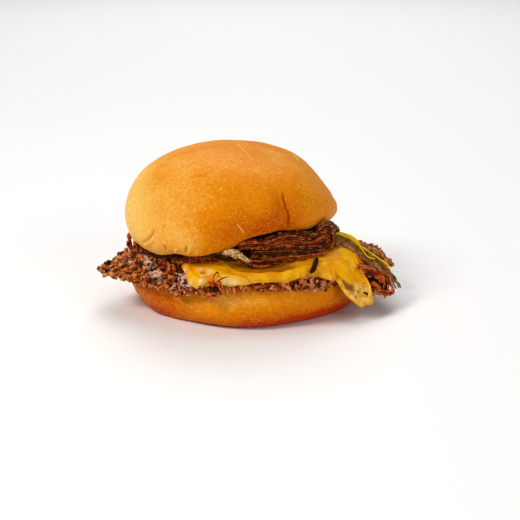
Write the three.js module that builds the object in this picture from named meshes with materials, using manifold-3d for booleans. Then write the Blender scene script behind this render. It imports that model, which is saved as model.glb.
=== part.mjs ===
// An onion smash burger: two halves of a soft potato roll, a thin beef patty smashed out to
// a crisp lacy skirt, one melted cheese slice that runs down a corner, and fried onions.
// Millimetres, +Z up, +X to the right of the burger's front and +Y away from it.
// The origin is the middle of the lower half's flat foot, which the burger stands on.
import * as THREE from "three";
import Module from "manifold-3d";

const wasm = await Module();
wasm.setup();
const { clamp, degToRad, euclideanModulo, lerp, smoothstep } = THREE.MathUtils;
const TURN = 2 * Math.PI;

// Driving dimensions. A ring states values at equal steps of direction, starting at +X and
// turning towards +Y. A lobe adds a height round one direction.
const GAP = 0.4; // between pieces that rest on each other

const HEEL = {
  height: 22, // to the cut face in the middle
  widest: 10, // height of the widest belt
  foot: 9.5, // how far the flat foot lies inside the belt
  lip: 3.5, // how far the cut face's edge lies inside the belt
  belt: ring([55, 55, 56, 55, 56, 57, 58.5, 60, 56, 57, 55, 57]),
};

const PATTY = {
  reach: ring([
    76.5, 67, 61.5, 61, 60.5, 60, 60, 60, 60, 60, 59.5, 60.5, 67, 76.5, 69.5, 64, 61.5, 61, 57.8,
    57.3, 59, 59.5, 69, 74.8,
  ]),
  lace: 1.5, // how far the crisp edge wanders in and out
  crag: 0.9, // height of the crust's lumps
  rim: 2.2, // thickness at the very edge
  core: 6.5, // thickness where it is whole
  taper: 20, // width of the thinning edge
  bend: 4, // softness of the bend over the roll's edge
  // How steeply the overhang falls away from the roll, as a slope.
  fall: ring([
    0.5, 0.33, 0.31, 0.35, 0.38, 0.37, 0.35, 0.33, 0.3, 0.29, 0.29, 0.3, 0.29, 0.29, 0.33, 0.52,
    0.7, 0.58, 0.45, 0.5, 0.6, 0.72, 0.8, 0.74,
  ]),
};

const CHEESE = {
  centre: new THREE.Vector2(12, -3),
  // Reach of the melted slice's edge: a square slice turned a little, whose front right corner
  // runs down in a tongue.
  reach: ring([
    42.3, 40.3, 38.5, 37.9, 38, 38.9, 40.5, 42.7, 45.5, 49.5, 53, 54.6, 54.5, 51.6, 48, 45.8, 44,
    42.5, 41.5, 41, 41, 41.3, 42, 43.2, 45, 47.2, 50, 54, 57.5, 58.8, 58.5, 55.9, 52.5, 49.8,
    47.5, 45.8, 44.5, 43.8, 43.5, 43.7, 44.5, 46, 48.5, 54.6, 57.4, 59.8, 62, 62.8, 59.6, 58.4,
    58.3, 57.3, 54.8, 53.4, 52.6, 51.4, 49.5, 47.3, 45.8, 45.5, 46.2, 47.7, 53.4, 57.9, 59.1,
    59.2, 50, 45, 44.3, 44, 43.8, 43.3,
  ]),
  thickness: 2.2,
  hang: 0.8, // how much more steeply it hangs where it has run past the patty
  sunk: 0.6, // how deep its underside is drawn into the patty before the patty cuts it
  wave: 0.5, // height of its soft folds
};

const CROWN = {
  place: new THREE.Vector3(-9, 0, 36.1),
  tilt: -7.6, // degrees: the left end lies lower, the onions lift the right end
  height: 43.3,
  widest: 13,
  dome: 0.77, // fullness of the dome: lower is fuller
  lipShare: 0.87, // radius of the cut face, as a share of the belt
  belt: ring([57.7, 56, 56, 53, 52, 54, 52, 52.3, 56.5, 53, 52.5, 54]),
  lift: { at: 298, height: 4, width: 26 }, // the onions push its front right edge up
  // The right side is pressed by two soft planes: a gentle one over the top and a steep shoulder.
  // Each leans up from +X by an angle in degrees.
  presses: [
    { lean: 67.5, at: 43.4, soft: 4 },
    { lean: 33.5, at: 49, soft: 3 },
  ],
  crease: { at: 303, halfWidth: 3.5, depth: 2.2, top: 0.78 },
};

const ONION = {
  centre: new THREE.Vector2(2, -2),
  core: ring([38, 40, 42, 38, 30, 24, 21, 26, 36, 43, 44, 41]),
  width: 2.2, // of a strand, from top to bottom
  // The hank at the front right: where its strands start and end, in degrees, and how far they
  // lie from the crown's axis. They bow out round the corner and tuck in at their ends.
  hank: {
    count: 7,
    thick: 1.5,
    start: [259, 267],
    end: [356, 372],
    radius: 50,
    sway: 2.2,
    bow: { at: 336, height: 5, width: 26 },
    tuck: [6, 9],
    sink: 0.35, // how much lower they lie past the corner
  },
  // The strands that poke out round the back and the left, spread over the degrees given.
  rear: { count: 6, thick: 1.6, from: 62, over: 118, spread: [16, 28], level: [0.1, 0.8] },
  front: { width: 2, thick: 2.6, from: 246, to: 282, level: 0.1 },
  hanging: { width: 1.6, thick: 1.8, x: [30, 33], y: [-38.5, -47], clear: 1.2 },
};

const COLUMNS = { heel: 48, patty: 84, cheese: 54, crown: 60, core: 32, strand: 5 };
const ROWS = { heel: 16, patty: 18, cheese: 14, crown: 20, core: 6, strand: 10 };

// A smooth closed function of direction through values at equal steps.
function ring(values) {
  const n = values.length;
  return (angle) => {
    const t = euclideanModulo((angle / TURN) * n, n);
    const i = Math.floor(t);
    const f = t - i;
    const [a, b, c, d] = [-1, 0, 1, 2].map((k) => values[(i + k + n) % n]);
    const bend = 2 * a - 5 * b + 4 * c - d + f * (3 * (b - c) + d - a);
    return b + 0.5 * f * (c - a + f * bend);
  };
}

function lobe(angle, { at, height, width }) {
  const away = euclideanModulo(angle - degToRad(at) + Math.PI, TURN) - Math.PI;
  return height * Math.exp(-((away / degToRad(width)) ** 2));
}

// A fixed draw between 0 and 1 for item i and purpose k.
function draw(i, k) {
  const s = Math.sin(12.9898 * i + 78.233 * k) * 43758.5453;
  return s - Math.floor(s);
}

// Uneven lumps between -1 and 1, from waves that never line up.
function lumps(x, y) {
  const a = Math.sin(0.83 * x + 1.3 * Math.sin(0.61 * y));
  const b = Math.sin(0.97 * y + 1.7 * Math.sin(0.47 * x + 2));
  return a * b;
}

// A closed surface, pole to pole: place(angle, v, row) gives its point, with v from 0 at the
// lower pole to 1 at the upper one.
function closedSurface(columns, rows, place) {
  const points = [place(0, 0, 0)];
  const faces = [];
  const at = (row, i) => 1 + (row - 1) * columns + (i % columns);
  for (let row = 1; row < rows; row++) {
    for (let i = 0; i < columns; i++) {
      points.push(place((TURN * i) / columns, row / rows, row));
    }
  }
  const top = points.push(place(0, 1, rows)) - 1;
  for (let i = 0; i < columns; i++) {
    faces.push(0, at(1, i + 1), at(1, i), top, at(rows - 1, i), at(rows - 1, i + 1));
    for (let row = 1; row < rows - 1; row++) {
      const [a, b] = [at(row, i), at(row, i + 1)];
      const [c, d] = [at(row + 1, i + 1), at(row + 1, i)];
      faces.push(a, b, c, a, c, d);
    }
  }
  const flat = points.flatMap((p) => [p.x, p.y, p.z]);
  return new THREE.BufferGeometry()
    .setAttribute("position", new THREE.Float32BufferAttribute(flat, 3))
    .setIndex(faces);
}

function polar(radius, angle, z, centre = { x: 0, y: 0 }) {
  return {
    x: centre.x + radius * Math.cos(angle),
    y: centre.y + radius * Math.sin(angle),
    z,
  };
}

// A strand: an oval section carried along a curve, narrowing to a point at both ends. The
// section's long axis stands upright.
function strand(path, width, thick, rows = ROWS.strand) {
  return closedSurface(COLUMNS.strand, rows, (angle, v) => {
    const here = path(v);
    const along = path(Math.min(v + 0.01, 1)).sub(path(Math.max(v - 0.01, 0))).normalize();
    const side = new THREE.Vector3(along.y, -along.x, 0).normalize();
    const up = new THREE.Vector3().crossVectors(along, side);
    const full = Math.sqrt(clamp(Math.sin(Math.PI * v), 0, 1));
    return here
      .addScaledVector(side, 0.5 * thick * full * Math.cos(angle))
      .addScaledVector(up, 0.5 * width * full * Math.sin(angle));
  });
}

function toSolid(geometry) {
  return new wasm.Manifold(
    new wasm.Mesh({
      numProp: 3,
      vertProperties: new Float32Array(geometry.attributes.position.array),
      triVerts: new Uint32Array(geometry.index.array),
    }),
  );
}

function toGeometry(solid) {
  const mesh = solid.getMesh();
  return new THREE.BufferGeometry()
    .setAttribute("position", new THREE.BufferAttribute(mesh.vertProperties, 3))
    .setIndex(new THREE.BufferAttribute(mesh.triVerts, 1));
}

// The largest of a cut solid's bodies, with its slivers merged: loose scraps are dropped.
function largest(solid) {
  const bodies = solid.simplify(0.03).decompose();
  return bodies.sort((a, b) => b.volume() - a.volume())[0];
}

// Height of the bed that the patty lies on: the lower half's cut face, and past its edge the
// line along which the overhang falls.
function bed(x, y) {
  const angle = Math.atan2(y, x);
  const past = Math.hypot(x, y) - (HEEL.belt(angle) - HEEL.lip);
  const run = Math.max(past, clamp(past + PATTY.bend, 0, 2 * PATTY.bend) ** 2 / (4 * PATTY.bend));
  return HEEL.height - run * PATTY.fall(angle);
}

function pattyThickness(x, y) {
  const inside = PATTY.reach(Math.atan2(y, x)) - Math.hypot(x, y);
  return lerp(PATTY.rim, PATTY.core, smoothstep(inside, 0, PATTY.taper));
}

function pattyTop(x, y) {
  return bed(x, y) + GAP + pattyThickness(x, y);
}

// Height of the bed of the cheese: the patty's top, and past the patty a steeper fall.
function cheeseBed(x, y) {
  const past = Math.hypot(x, y) - PATTY.reach(Math.atan2(y, x));
  return pattyTop(x, y) - CHEESE.hang * Math.max(past, 0);
}

// How far a point lies outside the slice's outline: negative under the slice.
function cheeseInset(x, y) {
  const dx = x - CHEESE.centre.x;
  const dy = y - CHEESE.centre.y;
  return Math.hypot(dx, dy) - CHEESE.reach(Math.atan2(dy, dx));
}

// Height of what lies uppermost: the cheese, and past its edge the patty.
function coverTop(x, y) {
  const bare = smoothstep(cheeseInset(x, y), -0.5, 2);
  return cheeseBed(x, y) + (1 - bare) * (GAP + CHEESE.thickness);
}

// How far the onions push the crown's edge up, at a point in the crown's own frame.
function crownLift(x, y) {
  return lobe(Math.atan2(y, x), CROWN.lift) * smoothstep(Math.hypot(x, y), 15, 45);
}

// Height of the crown's cut face over a point.
function crownFloor(x, y) {
  const dx = x - CROWN.place.x;
  const slope = Math.tan(degToRad(-CROWN.tilt));
  return CROWN.place.z + slope * dx + crownLift(dx, y - CROWN.place.y);
}

// The lower half of the roll: a flat foot, a round side and a cut face pressed to the bed.
function heel(grow = 0) {
  const [footEnd, beltEnd, lipEnd] = [2, 6, 10].map((row) => row / ROWS.heel);
  return closedSurface(COLUMNS.heel, ROWS.heel, (angle, v) => {
    const belt = HEEL.belt(angle) + grow;
    const foot = belt - HEEL.foot;
    const lip = belt - HEEL.lip;
    if (v <= footEnd) return polar(foot * (v / footEnd), angle, 0);
    if (v <= beltEnd) {
      const t = ((v - footEnd) / (beltEnd - footEnd)) * (Math.PI / 2);
      return polar(foot + HEEL.foot * Math.sin(t), angle, HEEL.widest * (1 - Math.cos(t)));
    }
    if (v <= lipEnd) {
      const t = ((v - beltEnd) / (lipEnd - beltEnd)) * (Math.PI / 2);
      const edge = polar(lip, angle, 0);
      const rise = bed(edge.x, edge.y) - HEEL.widest;
      return polar(lip + HEEL.lip * Math.cos(t), angle, HEEL.widest + rise * Math.sin(t));
    }
    const p = polar(lip * ((1 - v) / (1 - lipEnd)), angle, 0);
    return { ...p, z: bed(p.x, p.y) };
  });
}

// The patty: thick over the roll, thin and lacy past it. Its lumps stay off what the cheese
// covers and off its underside. Rows stand close where it bends over the roll's edge.
function patty(grow = 0) {
  const edgeRow = ROWS.patty / 2;
  return closedSurface(COLUMNS.patty, ROWS.patty, (angle, v, row) => {
    const wander = PATTY.lace * Math.sin(23 * angle + 2 * Math.sin(7 * angle));
    const edge = PATTY.reach(angle) + wander + grow;
    const inner = HEEL.belt(angle) - HEEL.lip - PATTY.bend;
    const step = edgeRow - Math.abs(row - edgeRow);
    const out = (step - 2) / (edgeRow - 2);
    const radius = step < 2 ? (inner * step) / 2 : lerp(inner, edge, Math.abs(out) ** 1.5);
    const p = polar(radius, angle, 0);
    const depth = pattyThickness(p.x, p.y) + crust(p.x, p.y);
    const upper = row === edgeRow ? 0.5 : row > edgeRow ? 1 : 0;
    return { ...p, z: bed(p.x, p.y) + GAP + upper * depth + grow * (2 * upper - 1) };
  });
}

// Height of the crust's lumps: none under the cheese.
function crust(x, y) {
  return PATTY.crag * smoothstep(cheeseInset(x, y), 1, 5) * lumps(x, y);
}

// The slice lies on the patty and hangs past it. grow makes it larger all round, to cut room.
function cheese(grow = 0) {
  const slice = closedSurface(COLUMNS.cheese, ROWS.cheese, (angle, v) => {
    const share = Math.sin(Math.PI * v);
    const p = polar((CHEESE.reach(angle) + grow) * share, angle, 0, CHEESE.centre);
    const fold = CHEESE.wave * share * Math.sin(0.21 * p.x + 0.9) * Math.sin(0.17 * p.y);
    const upper = smoothstep(v, 0.4, 0.6);
    const depth = upper * (CHEESE.thickness + Math.max(fold, 0) + GAP + CHEESE.sunk);
    return { ...p, z: cheeseBed(p.x, p.y) - CHEESE.sunk + depth + grow * (2 * upper - 1) };
  });
  return largest(toSolid(slice).subtract(toSolid(patty(GAP))).subtract(crownRoom()));
}

// The upper half, in its own frame with the cut face at z = 0.
function crown(grow = 0) {
  const [faceEnd, beltEnd] = [3, 8].map((row) => row / ROWS.crown);
  return closedSurface(COLUMNS.crown, ROWS.crown, (angle, v) => {
    const belt = CROWN.belt(angle) + grow;
    const lip = belt * CROWN.lipShare;
    let point;
    if (v <= faceEnd) {
      point = polar(lip * (v / faceEnd), angle, -grow);
    } else if (v <= beltEnd) {
      const t = ((v - faceEnd) / (beltEnd - faceEnd)) * (Math.PI / 2);
      const z = CROWN.widest * (1 - Math.cos(t)) - grow * Math.cos(t);
      point = polar(lip + (belt - lip) * Math.sin(t), angle, z);
    } else {
      const t = ((v - beltEnd) / (1 - beltEnd)) * (Math.PI / 2);
      const rise = (CROWN.height - CROWN.widest + grow) * Math.sin(t);
      point = polar(belt * Math.cos(t) ** CROWN.dome, angle, CROWN.widest + rise);
    }
    point.z += crownLift(point.x, point.y) * (1 - smoothstep(point.z, 0, 22));
    return pressed(creased(point, angle));
  });
}

// Presses a crown point back behind each plane, softly.
function pressed(point) {
  const p = new THREE.Vector3(point.x, point.y, point.z);
  for (const { lean, at, soft } of CROWN.presses) {
    const normal = new THREE.Vector3(Math.cos(degToRad(lean)), 0, Math.sin(degToRad(lean)));
    p.addScaledVector(normal, -soft * Math.log1p(Math.exp((p.dot(normal) - at) / soft)));
  }
  return p;
}

// Draws a crown point inwards along the pinched crease, which fades towards the top.
function creased(point, angle) {
  const { at, halfWidth, depth, top } = CROWN.crease;
  const radius = Math.hypot(point.x, point.y);
  const off = radius * Math.sin(angle - degToRad(at));
  if (Math.cos(angle - degToRad(at)) < 0) return point;
  const fade = smoothstep(point.z, 0, 3) * (1 - smoothstep(point.z / CROWN.height, 0.3, top));
  const pull = depth * fade * Math.exp(-((off / halfWidth) ** 2));
  return polar(radius - pull, angle, point.z);
}

const crownMatrix = new THREE.Matrix4().compose(
  CROWN.place,
  new THREE.Quaternion().setFromAxisAngle(new THREE.Vector3(0, 1, 0), degToRad(CROWN.tilt)),
  new THREE.Vector3(1, 1, 1),
);

function crownRoom() {
  return toSolid(crown(GAP).applyMatrix4(crownMatrix));
}

// The onions' core, between the cheese and the crown's cut face.
function onionCore() {
  return closedSurface(COLUMNS.core, ROWS.core, (angle, v) => {
    const share = Math.sin(Math.PI * v);
    const p = polar(ONION.core(angle) * share, angle, 0, ONION.centre);
    const low = coverTop(p.x, p.y) + GAP + CHEESE.wave;
    const high = crownFloor(p.x, p.y) - 2 * GAP;
    return { ...p, z: lerp(low, high, smoothstep(v, 0.3, 0.7)) };
  });
}

// Height at a share of the room between the cheese and the crown.
function between(x, y, share) {
  const low = coverTop(x, y) + ONION.width / 2 + GAP;
  return lerp(low, Math.max(crownFloor(x, y) - ONION.width / 2, low), share);
}

// One strand of the hank: along the front, round the right end and back under the crown.
function hankPath(i) {
  const { count, radius, sway, bow, tuck, sink } = ONION.hank;
  const start = degToRad(lerp(...ONION.hank.start, draw(i, 1)));
  const end = degToRad(lerp(...ONION.hank.end, draw(i, 2)));
  return (t) => {
    const angle = lerp(start, end, t);
    const tucked = tuck[1] * smoothstep(t, 0.82, 1) + tuck[0] * (1 - smoothstep(t, 0, 0.12));
    const swayed = sway * draw(i, 3) * Math.sin(9 * t + 6 * draw(i, 4));
    const p = polar(radius + swayed + lobe(angle, bow) - tucked, angle, 0, CROWN.place);
    const level = ((i + 0.5) / count) * (1 - sink * smoothstep(t, 0.5, 0.85));
    return new THREE.Vector3(p.x, p.y, between(p.x, p.y, level));
  };
}

// One strand that pokes out round the back or the left.
function rearPath(i) {
  const { count, from, over } = ONION.rear;
  const middle = degToRad(from + (over * (i + 0.5)) / count + 10 * draw(i, 5));
  const spread = degToRad(lerp(...ONION.rear.spread, draw(i, 6)));
  const level = lerp(...ONION.rear.level, draw(i, 7));
  return (t) => {
    const angle = middle + spread * (2 * t - 1);
    const p = polar(40 + 10.5 * Math.sin(Math.PI * t), angle, 0, CROWN.place);
    return new THREE.Vector3(p.x, p.y, between(p.x, p.y, level));
  };
}

// The flat loop at the middle of the front, and the strand end that hangs over the cheese.
function frontPath(t) {
  const angle = degToRad(lerp(ONION.front.from, ONION.front.to, t));
  const p = polar(44 + 6 * Math.sin(Math.PI * t), angle, 0, CROWN.place);
  return new THREE.Vector3(p.x, p.y, between(p.x, p.y, ONION.front.level));
}

function hangingPath(t) {
  const x = lerp(...ONION.hanging.x, t);
  const y = lerp(...ONION.hanging.y, t);
  return new THREE.Vector3(x, y, cheeseBed(x, y) + GAP + CHEESE.thickness + ONION.hanging.clear);
}

function onions() {
  const { width, hank, rear, front, hanging } = ONION;
  const strands = [
    strand(frontPath, front.width, front.thick),
    strand(hangingPath, hanging.width, hanging.thick, 8),
  ];
  for (let i = 0; i < hank.count; i++) strands.push(strand(hankPath(i), width, hank.thick, 18));
  for (let i = 0; i < rear.count; i++) strands.push(strand(rearPath(i), width, rear.thick));
  const joined = strands.reduce((sum, s) => sum.add(toSolid(s)), toSolid(onionCore()));
  const room = crownRoom().add(cheese(GAP)).add(toSolid(patty(GAP))).add(petal(GAP));
  return toGeometry(largest(joined.subtract(room)));
}

// The wide dark onion petal that lies down the right slope, its front edge lower. Its
// underside is deep enough to be cut to what it lies on.
const PETAL = {
  width: 7,
  above: 0.6,
  below: 3,
  tilt: 32, // degrees
  path: [
    [44, -19, 35.6],
    [47.7, -19.3, 33.8],
    [51.7, -19.5, 31.3],
    [55.2, -18.5, 27.4],
    [59.3, -17, 24.4],
    [63.6, -15.5, 21],
    [67.8, -14.5, 17.4],
    [71, -13.5, 14.2],
    [74.7, -12.5, 9.6],
  ],
};

function petal(grow = 0) {
  const path = new THREE.CatmullRomCurve3(PETAL.path.map((p) => new THREE.Vector3(...p)));
  const raw = closedSurface(8, 14, (angle, v) => {
    const along = path.getTangent(clamp(v, 0.01, 0.99));
    const front = new THREE.Vector3(along.y, -along.x, 0).normalize();
    const across = front.multiplyScalar(Math.cos(degToRad(PETAL.tilt)));
    across.z = -Math.sin(degToRad(PETAL.tilt));
    const outward = new THREE.Vector3().crossVectors(across, along);
    const full = Math.sin(Math.PI * v) ** 0.4;
    const up = -Math.sin(angle);
    const depth = up > 0 ? PETAL.above : PETAL.below;
    return path
      .getPoint(v)
      .addScaledVector(across, (PETAL.width / 2 + grow) * full * Math.cos(angle))
      .addScaledVector(outward, (depth + grow) * full * up);
  });
  return largest(toSolid(raw).subtract(cheese(GAP)).subtract(toSolid(patty(GAP))));
}

// The crisp pleated fringe under the petal, on the patty's right edge past the cheese.
const FRINGE = { inner: 57, outer: 74.5, from: 333, to: 350, pleat: 1, pleats: 4 };

function fringe() {
  const middle = (FRINGE.inner + FRINGE.outer) / 2;
  const half = (FRINGE.outer - FRINGE.inner) / 2;
  const pleated = closedSurface(28, 8, (turn, v) => {
    const share = Math.sin(Math.PI * v);
    const angle = degToRad(lerp(FRINGE.from, FRINGE.to, 0.5 + 0.5 * share * Math.sin(turn)));
    const p = polar(middle + half * share * Math.cos(turn), angle, 0);
    const wave = Math.sin((FRINGE.pleats * TURN * (1 + share * Math.sin(turn))) / 2);
    const upper = smoothstep(v, 0.4, 0.6);
    return { ...p, z: pattyTop(p.x, p.y) + upper * (2.6 + FRINGE.pleat * share * wave) };
  });
  const room = cheese(GAP).add(toSolid(patty(GAP))).add(petal(GAP));
  return toGeometry(largest(toSolid(pleated).subtract(room)));
}

// Crisp threads at the front edge: two curl up over the cheese and two hang over the roll. They
// grow out of a small knot.
const THREADS = {
  width: 1.6,
  thick: 1.3,
  knot: { centre: [-15, -59.6, 25.2], radii: [2.6, 1.6, 1.3] },
  paths: [
    [[-17, -59.3, 24.8], [-16.5, -59.2, 27], [-15.5, -59, 29.2], [-14.3, -59, 30.4], [-13.7, -59, 28.6]],
    [[-15, -59.6, 25.6], [-13.2, -59.4, 26.9], [-10.9, -59.4, 28], [-8.6, -59.4, 28.2]],
    [[-14, -60, 25.8], [-12.7, -60.8, 25.6], [-11.8, -61, 22.7], [-10.2, -61, 19.8], [-8.6, -61, 17.8]],
    [[-16, -60, 25.2], [-17.5, -61, 23], [-18, -61.6, 20.5], [-16.4, -62, 18.8]],
  ],
};

function threads() {
  const joined = THREADS.paths.map((points) => {
    const curve = new THREE.CatmullRomCurve3(points.map((p) => new THREE.Vector3(...p)));
    return toSolid(strand((t) => curve.getPoint(t), THREADS.width, THREADS.thick, 8));
  }).reduce((sum, s) => sum.add(s));
  const { centre, radii } = THREADS.knot;
  const knot = new THREE.Matrix4().compose(
    new THREE.Vector3(...centre),
    new THREE.Quaternion(),
    new THREE.Vector3(...radii),
  );
  const ball = closedSurface(8, 6, (angle, v) => {
    return polar(Math.sin(Math.PI * v), angle, -Math.cos(Math.PI * v));
  }).applyMatrix4(knot);
  const clear = cheese(GAP).add(toSolid(patty(GAP))).add(toSolid(heel(GAP)));
  return toGeometry(largest(joined.add(toSolid(ball)).subtract(clear)));
}

// The small fried ring that stands at the crown's left end.
const LOOP = { x: -60.6, y: 2, foot: 24, height: 8.6, width: 4.6, tube: 0.8 };

function standingLoop() {
  const [around, across] = [16, 6];
  const points = [];
  const faces = [];
  const at = (i, j) => (i % around) * across + (j % across);
  for (let i = 0; i < around; i++) {
    for (let j = 0; j < across; j++) {
      const a = (TURN * i) / around;
      const b = (TURN * j) / across;
      const outX = LOOP.width / 2 - LOOP.tube + LOOP.tube * Math.cos(b);
      const outZ = LOOP.height / 2 - LOOP.tube + LOOP.tube * Math.cos(b);
      const z = LOOP.foot + LOOP.height / 2 + outZ * Math.sin(a);
      points.push(LOOP.x + outX * Math.cos(a), LOOP.y + LOOP.tube * Math.sin(b), z);
      faces.push(at(i, j), at(i, j + 1), at(i + 1, j + 1), at(i, j), at(i + 1, j + 1), at(i + 1, j));
    }
  }
  const whole = new THREE.BufferGeometry()
    .setAttribute("position", new THREE.Float32BufferAttribute(points, 3))
    .setIndex(faces);
  const room = crownRoom().add(toSolid(patty(GAP)));
  return toGeometry(largest(toSolid(whole).subtract(room)));
}

function finish(color, roughness) {
  return new THREE.MeshStandardMaterial({ color, roughness, metalness: 0 });
}

const burger = new THREE.Group();

function add(name, geometry, material) {
  geometry.computeVertexNormals();
  const mesh = new THREE.Mesh(geometry, material);
  mesh.name = name;
  burger.add(mesh);
  return mesh;
}

const bread = finish(0xd9862a, 0.6);
const friedOnion = finish(0x4a2412, 0.5);

add("bun_heel", heel(), bread);
add("patty", patty(), finish(0x52210f, 0.55));
add("cheese", toGeometry(cheese()), finish(0xf2b01e, 0.35));
add("onions", onions(), friedOnion);
add("onion_petal", toGeometry(petal()), finish(0x3f2a12, 0.25));
add("onion_fringe", fringe(), finish(0x8a3a12, 0.35));
add("crisp_threads", threads(), finish(0x9a4a18, 0.45));
add("onion_loop", standingLoop(), friedOnion);
const top = add("bun_crown", crown(), bread);
top.applyMatrix4(crownMatrix);

export default burger;
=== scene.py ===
"""An onion smash burger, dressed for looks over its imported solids.

Shapes are worked out in millimetres as grids of points, from the same rings as the solids and from
curves close to theirs, and go into their meshes in metres. +Z is up and the front looks towards -Y.
"""
from itertools import product

import bpy
import numpy as np
from bpy.props import FloatProperty, FloatVectorProperty, IntProperty, PointerProperty
from bpy.types import Operator, Panel, PropertyGroup
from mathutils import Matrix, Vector


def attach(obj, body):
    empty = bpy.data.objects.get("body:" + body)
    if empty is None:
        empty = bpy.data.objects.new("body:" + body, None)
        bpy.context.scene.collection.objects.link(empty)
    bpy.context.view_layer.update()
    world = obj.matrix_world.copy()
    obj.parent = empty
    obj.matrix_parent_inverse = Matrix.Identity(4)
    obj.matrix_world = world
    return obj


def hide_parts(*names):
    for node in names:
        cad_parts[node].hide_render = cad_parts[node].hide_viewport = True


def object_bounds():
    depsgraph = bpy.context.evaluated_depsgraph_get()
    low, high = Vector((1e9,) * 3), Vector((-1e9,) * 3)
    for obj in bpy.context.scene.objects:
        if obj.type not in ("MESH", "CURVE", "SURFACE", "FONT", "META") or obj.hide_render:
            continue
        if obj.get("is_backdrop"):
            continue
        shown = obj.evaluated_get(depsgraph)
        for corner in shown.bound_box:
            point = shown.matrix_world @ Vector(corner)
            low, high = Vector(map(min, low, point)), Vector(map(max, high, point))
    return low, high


bl_info = {
    "name": "Onion burger",
    "version": (1, 0, 0),
    "blender": (4, 5, 0),
    "location": "3D View > Sidebar > Burger",
    "description": "Dresses a smash burger with fried onions, piece by piece",
    "category": "Add Mesh",
}

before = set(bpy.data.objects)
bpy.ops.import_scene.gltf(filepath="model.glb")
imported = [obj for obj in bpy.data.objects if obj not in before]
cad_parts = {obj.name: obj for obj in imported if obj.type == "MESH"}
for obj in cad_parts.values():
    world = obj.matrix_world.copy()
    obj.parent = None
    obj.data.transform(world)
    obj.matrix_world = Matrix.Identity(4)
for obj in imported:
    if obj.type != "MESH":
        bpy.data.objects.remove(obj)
solid_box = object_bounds()

MM = 0.001
TURN = 2 * np.pi
UP = np.array([0.0, 0.0, 1.0])

# Odd numbers that mix the bits of a cell's place and seed into a draw, and a mask for 32 bits.
CELL_MIX = np.array([73856093, 19349663, 83492791])
SEED_MIX, SEED_START = 40503, 977
BIT_MIX = (1274126177, 668265263)
BITS = 0xFFFFFFFF
# The Mix node's sockets for colours: its factor, the colour under and the colour over, and its result.
MIX_FACTOR, MIX_UNDER, MIX_OVER, MIX_RESULT = 0, 6, 7, 2

# Rings hold values at equal steps of direction, starting at +X and turning towards +Y.
# The lower half: its belt, its height and that of its belt, and how far in its foot and lip lie.
HEEL_BELT = [55, 55, 56, 55, 56, 57, 58.5, 60, 56, 57, 55, 57]
HEEL_HEIGHT, HEEL_WIDEST, HEEL_FOOT, HEEL_LIP = 22.0, 10.0, 9.5, 3.5
# Swellings of its left side: direction and width in degrees, height, spread and how far out.
HEEL_DENTS = [(200, 18, 15, 5, 2.0), (214, 16, 4, 5, -2.2)]
# Painted highlights, paler places of its crust: x and its reach, height and its reach, and how much paler.
HEEL_HIGHLIGHTS = [(2, 26, 15, 5, 0.37), (-26, 9, 9, 4, 0.14)]

# The patty: its reach, and how steeply it falls past the roll's edge.
PATTY_REACH = [
    76.5, 67, 61.5, 61, 60.5, 60, 60, 60, 60, 60, 59.5, 60.5, 67, 76.5, 69.5, 64, 61.5, 61, 57.8,
    57.3, 59, 59.5, 69, 74.8,
]
PATTY_FALL = [
    0.5, 0.33, 0.31, 0.35, 0.38, 0.37, 0.35, 0.33, 0.3, 0.29, 0.29, 0.3, 0.29, 0.29, 0.33, 0.52,
    0.7, 0.58, 0.45, 0.5, 0.6, 0.72, 0.8, 0.74,
]
# Its thickness at the rim and inside, the run between them, and the bend at the roll's edge.
PATTY_RIM, PATTY_CORE, PATTY_TAPER, PATTY_BEND = 2.2, 6.5, 20.0, 4.0
# Lobes of its lacy rim: direction and width in degrees, and how far out. The lace starts from an inset.
PATTY_LOBES = [(275, 30, 1.2), (195, 9, 0.6), (262, 10, -0.9), (5, 4, 0.5), (355, 6, -10.0)]
LACE_INSET = 1.2
# The radius past which its rows lie close, on top and underneath, and the row in the middle of its rim.
PATTY_DENSE, PATTY_TUCK, RIM_ROW = 37.0, 48.0, 62
# The gap that each layer keeps from the one under it.
GAP = 0.4

# The slice: its middle, its reach, its usual thickness and how much steeper it hangs than the patty.
CHEESE_CENTRE = np.array([12.0, -3.0])
CHEESE_REACH = [
    42.3, 40.3, 38.5, 37.9, 38, 38.9, 40.5, 42.7, 45.5, 49.5, 53, 54.6, 54.5, 51.6, 48, 45.8, 44,
    42.5, 41.5, 41, 41, 41.3, 42, 43.2, 45, 47.2, 50, 54, 57.5, 58.8, 58.5, 55.9, 52.5, 49.8,
    47.5, 45.8, 44.5, 43.8, 43.5, 43.7, 44.5, 46, 48.5, 54.6, 57.4, 59.8, 62, 62.8, 59.6, 58.4,
    58.3, 57.3, 54.8, 53.4, 52.6, 51.4, 49.5, 47.3, 45.8, 45.5, 46.2, 47.7, 53.4, 57.9, 59.1,
    59.2, 50, 45, 44.3, 44, 43.8, 43.3,
]
CHEESE_THICKNESS, CHEESE_HANG = 2.2, 0.8
# Lobes of its edge: direction and width in degrees, and how far out.
CHEESE_LOBES = [(265, 17, -2.0), (314, 5, -1.4), (344, 9, 4.5), (307.5, 1.5, -3.0)]

# The upper half: its place and tilt, its height and that of its belt, its lip's share and its dome's power.
CROWN_PLACE = np.array([-9.0, 0.0, 36.1])
CROWN_TILT = np.radians(-7.6)
CROWN_HEIGHT, CROWN_WIDEST, CROWN_LIP, CROWN_DOME = 43.3, 13.0, 0.87, 0.77
CROWN_BELT = [57.7, 56, 56, 53, 52, 54, 52, 52.3, 56.5, 53, 52.5, 54]
# Where the onions push its edge up: direction and width in degrees, and how far.
CROWN_LIFTS = [(298, 26, 4.0), (239, 8, 1.7)]
# The direction in degrees of the broad crease that draws it in.
CROWN_CREASE = 303
# The planes that press its right side: how each leans up from +X in degrees, where, how softly.
CROWN_PRESSES = [(67.5, 43.4, 4.0), (33.5, 49.0, 3.0)]

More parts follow.
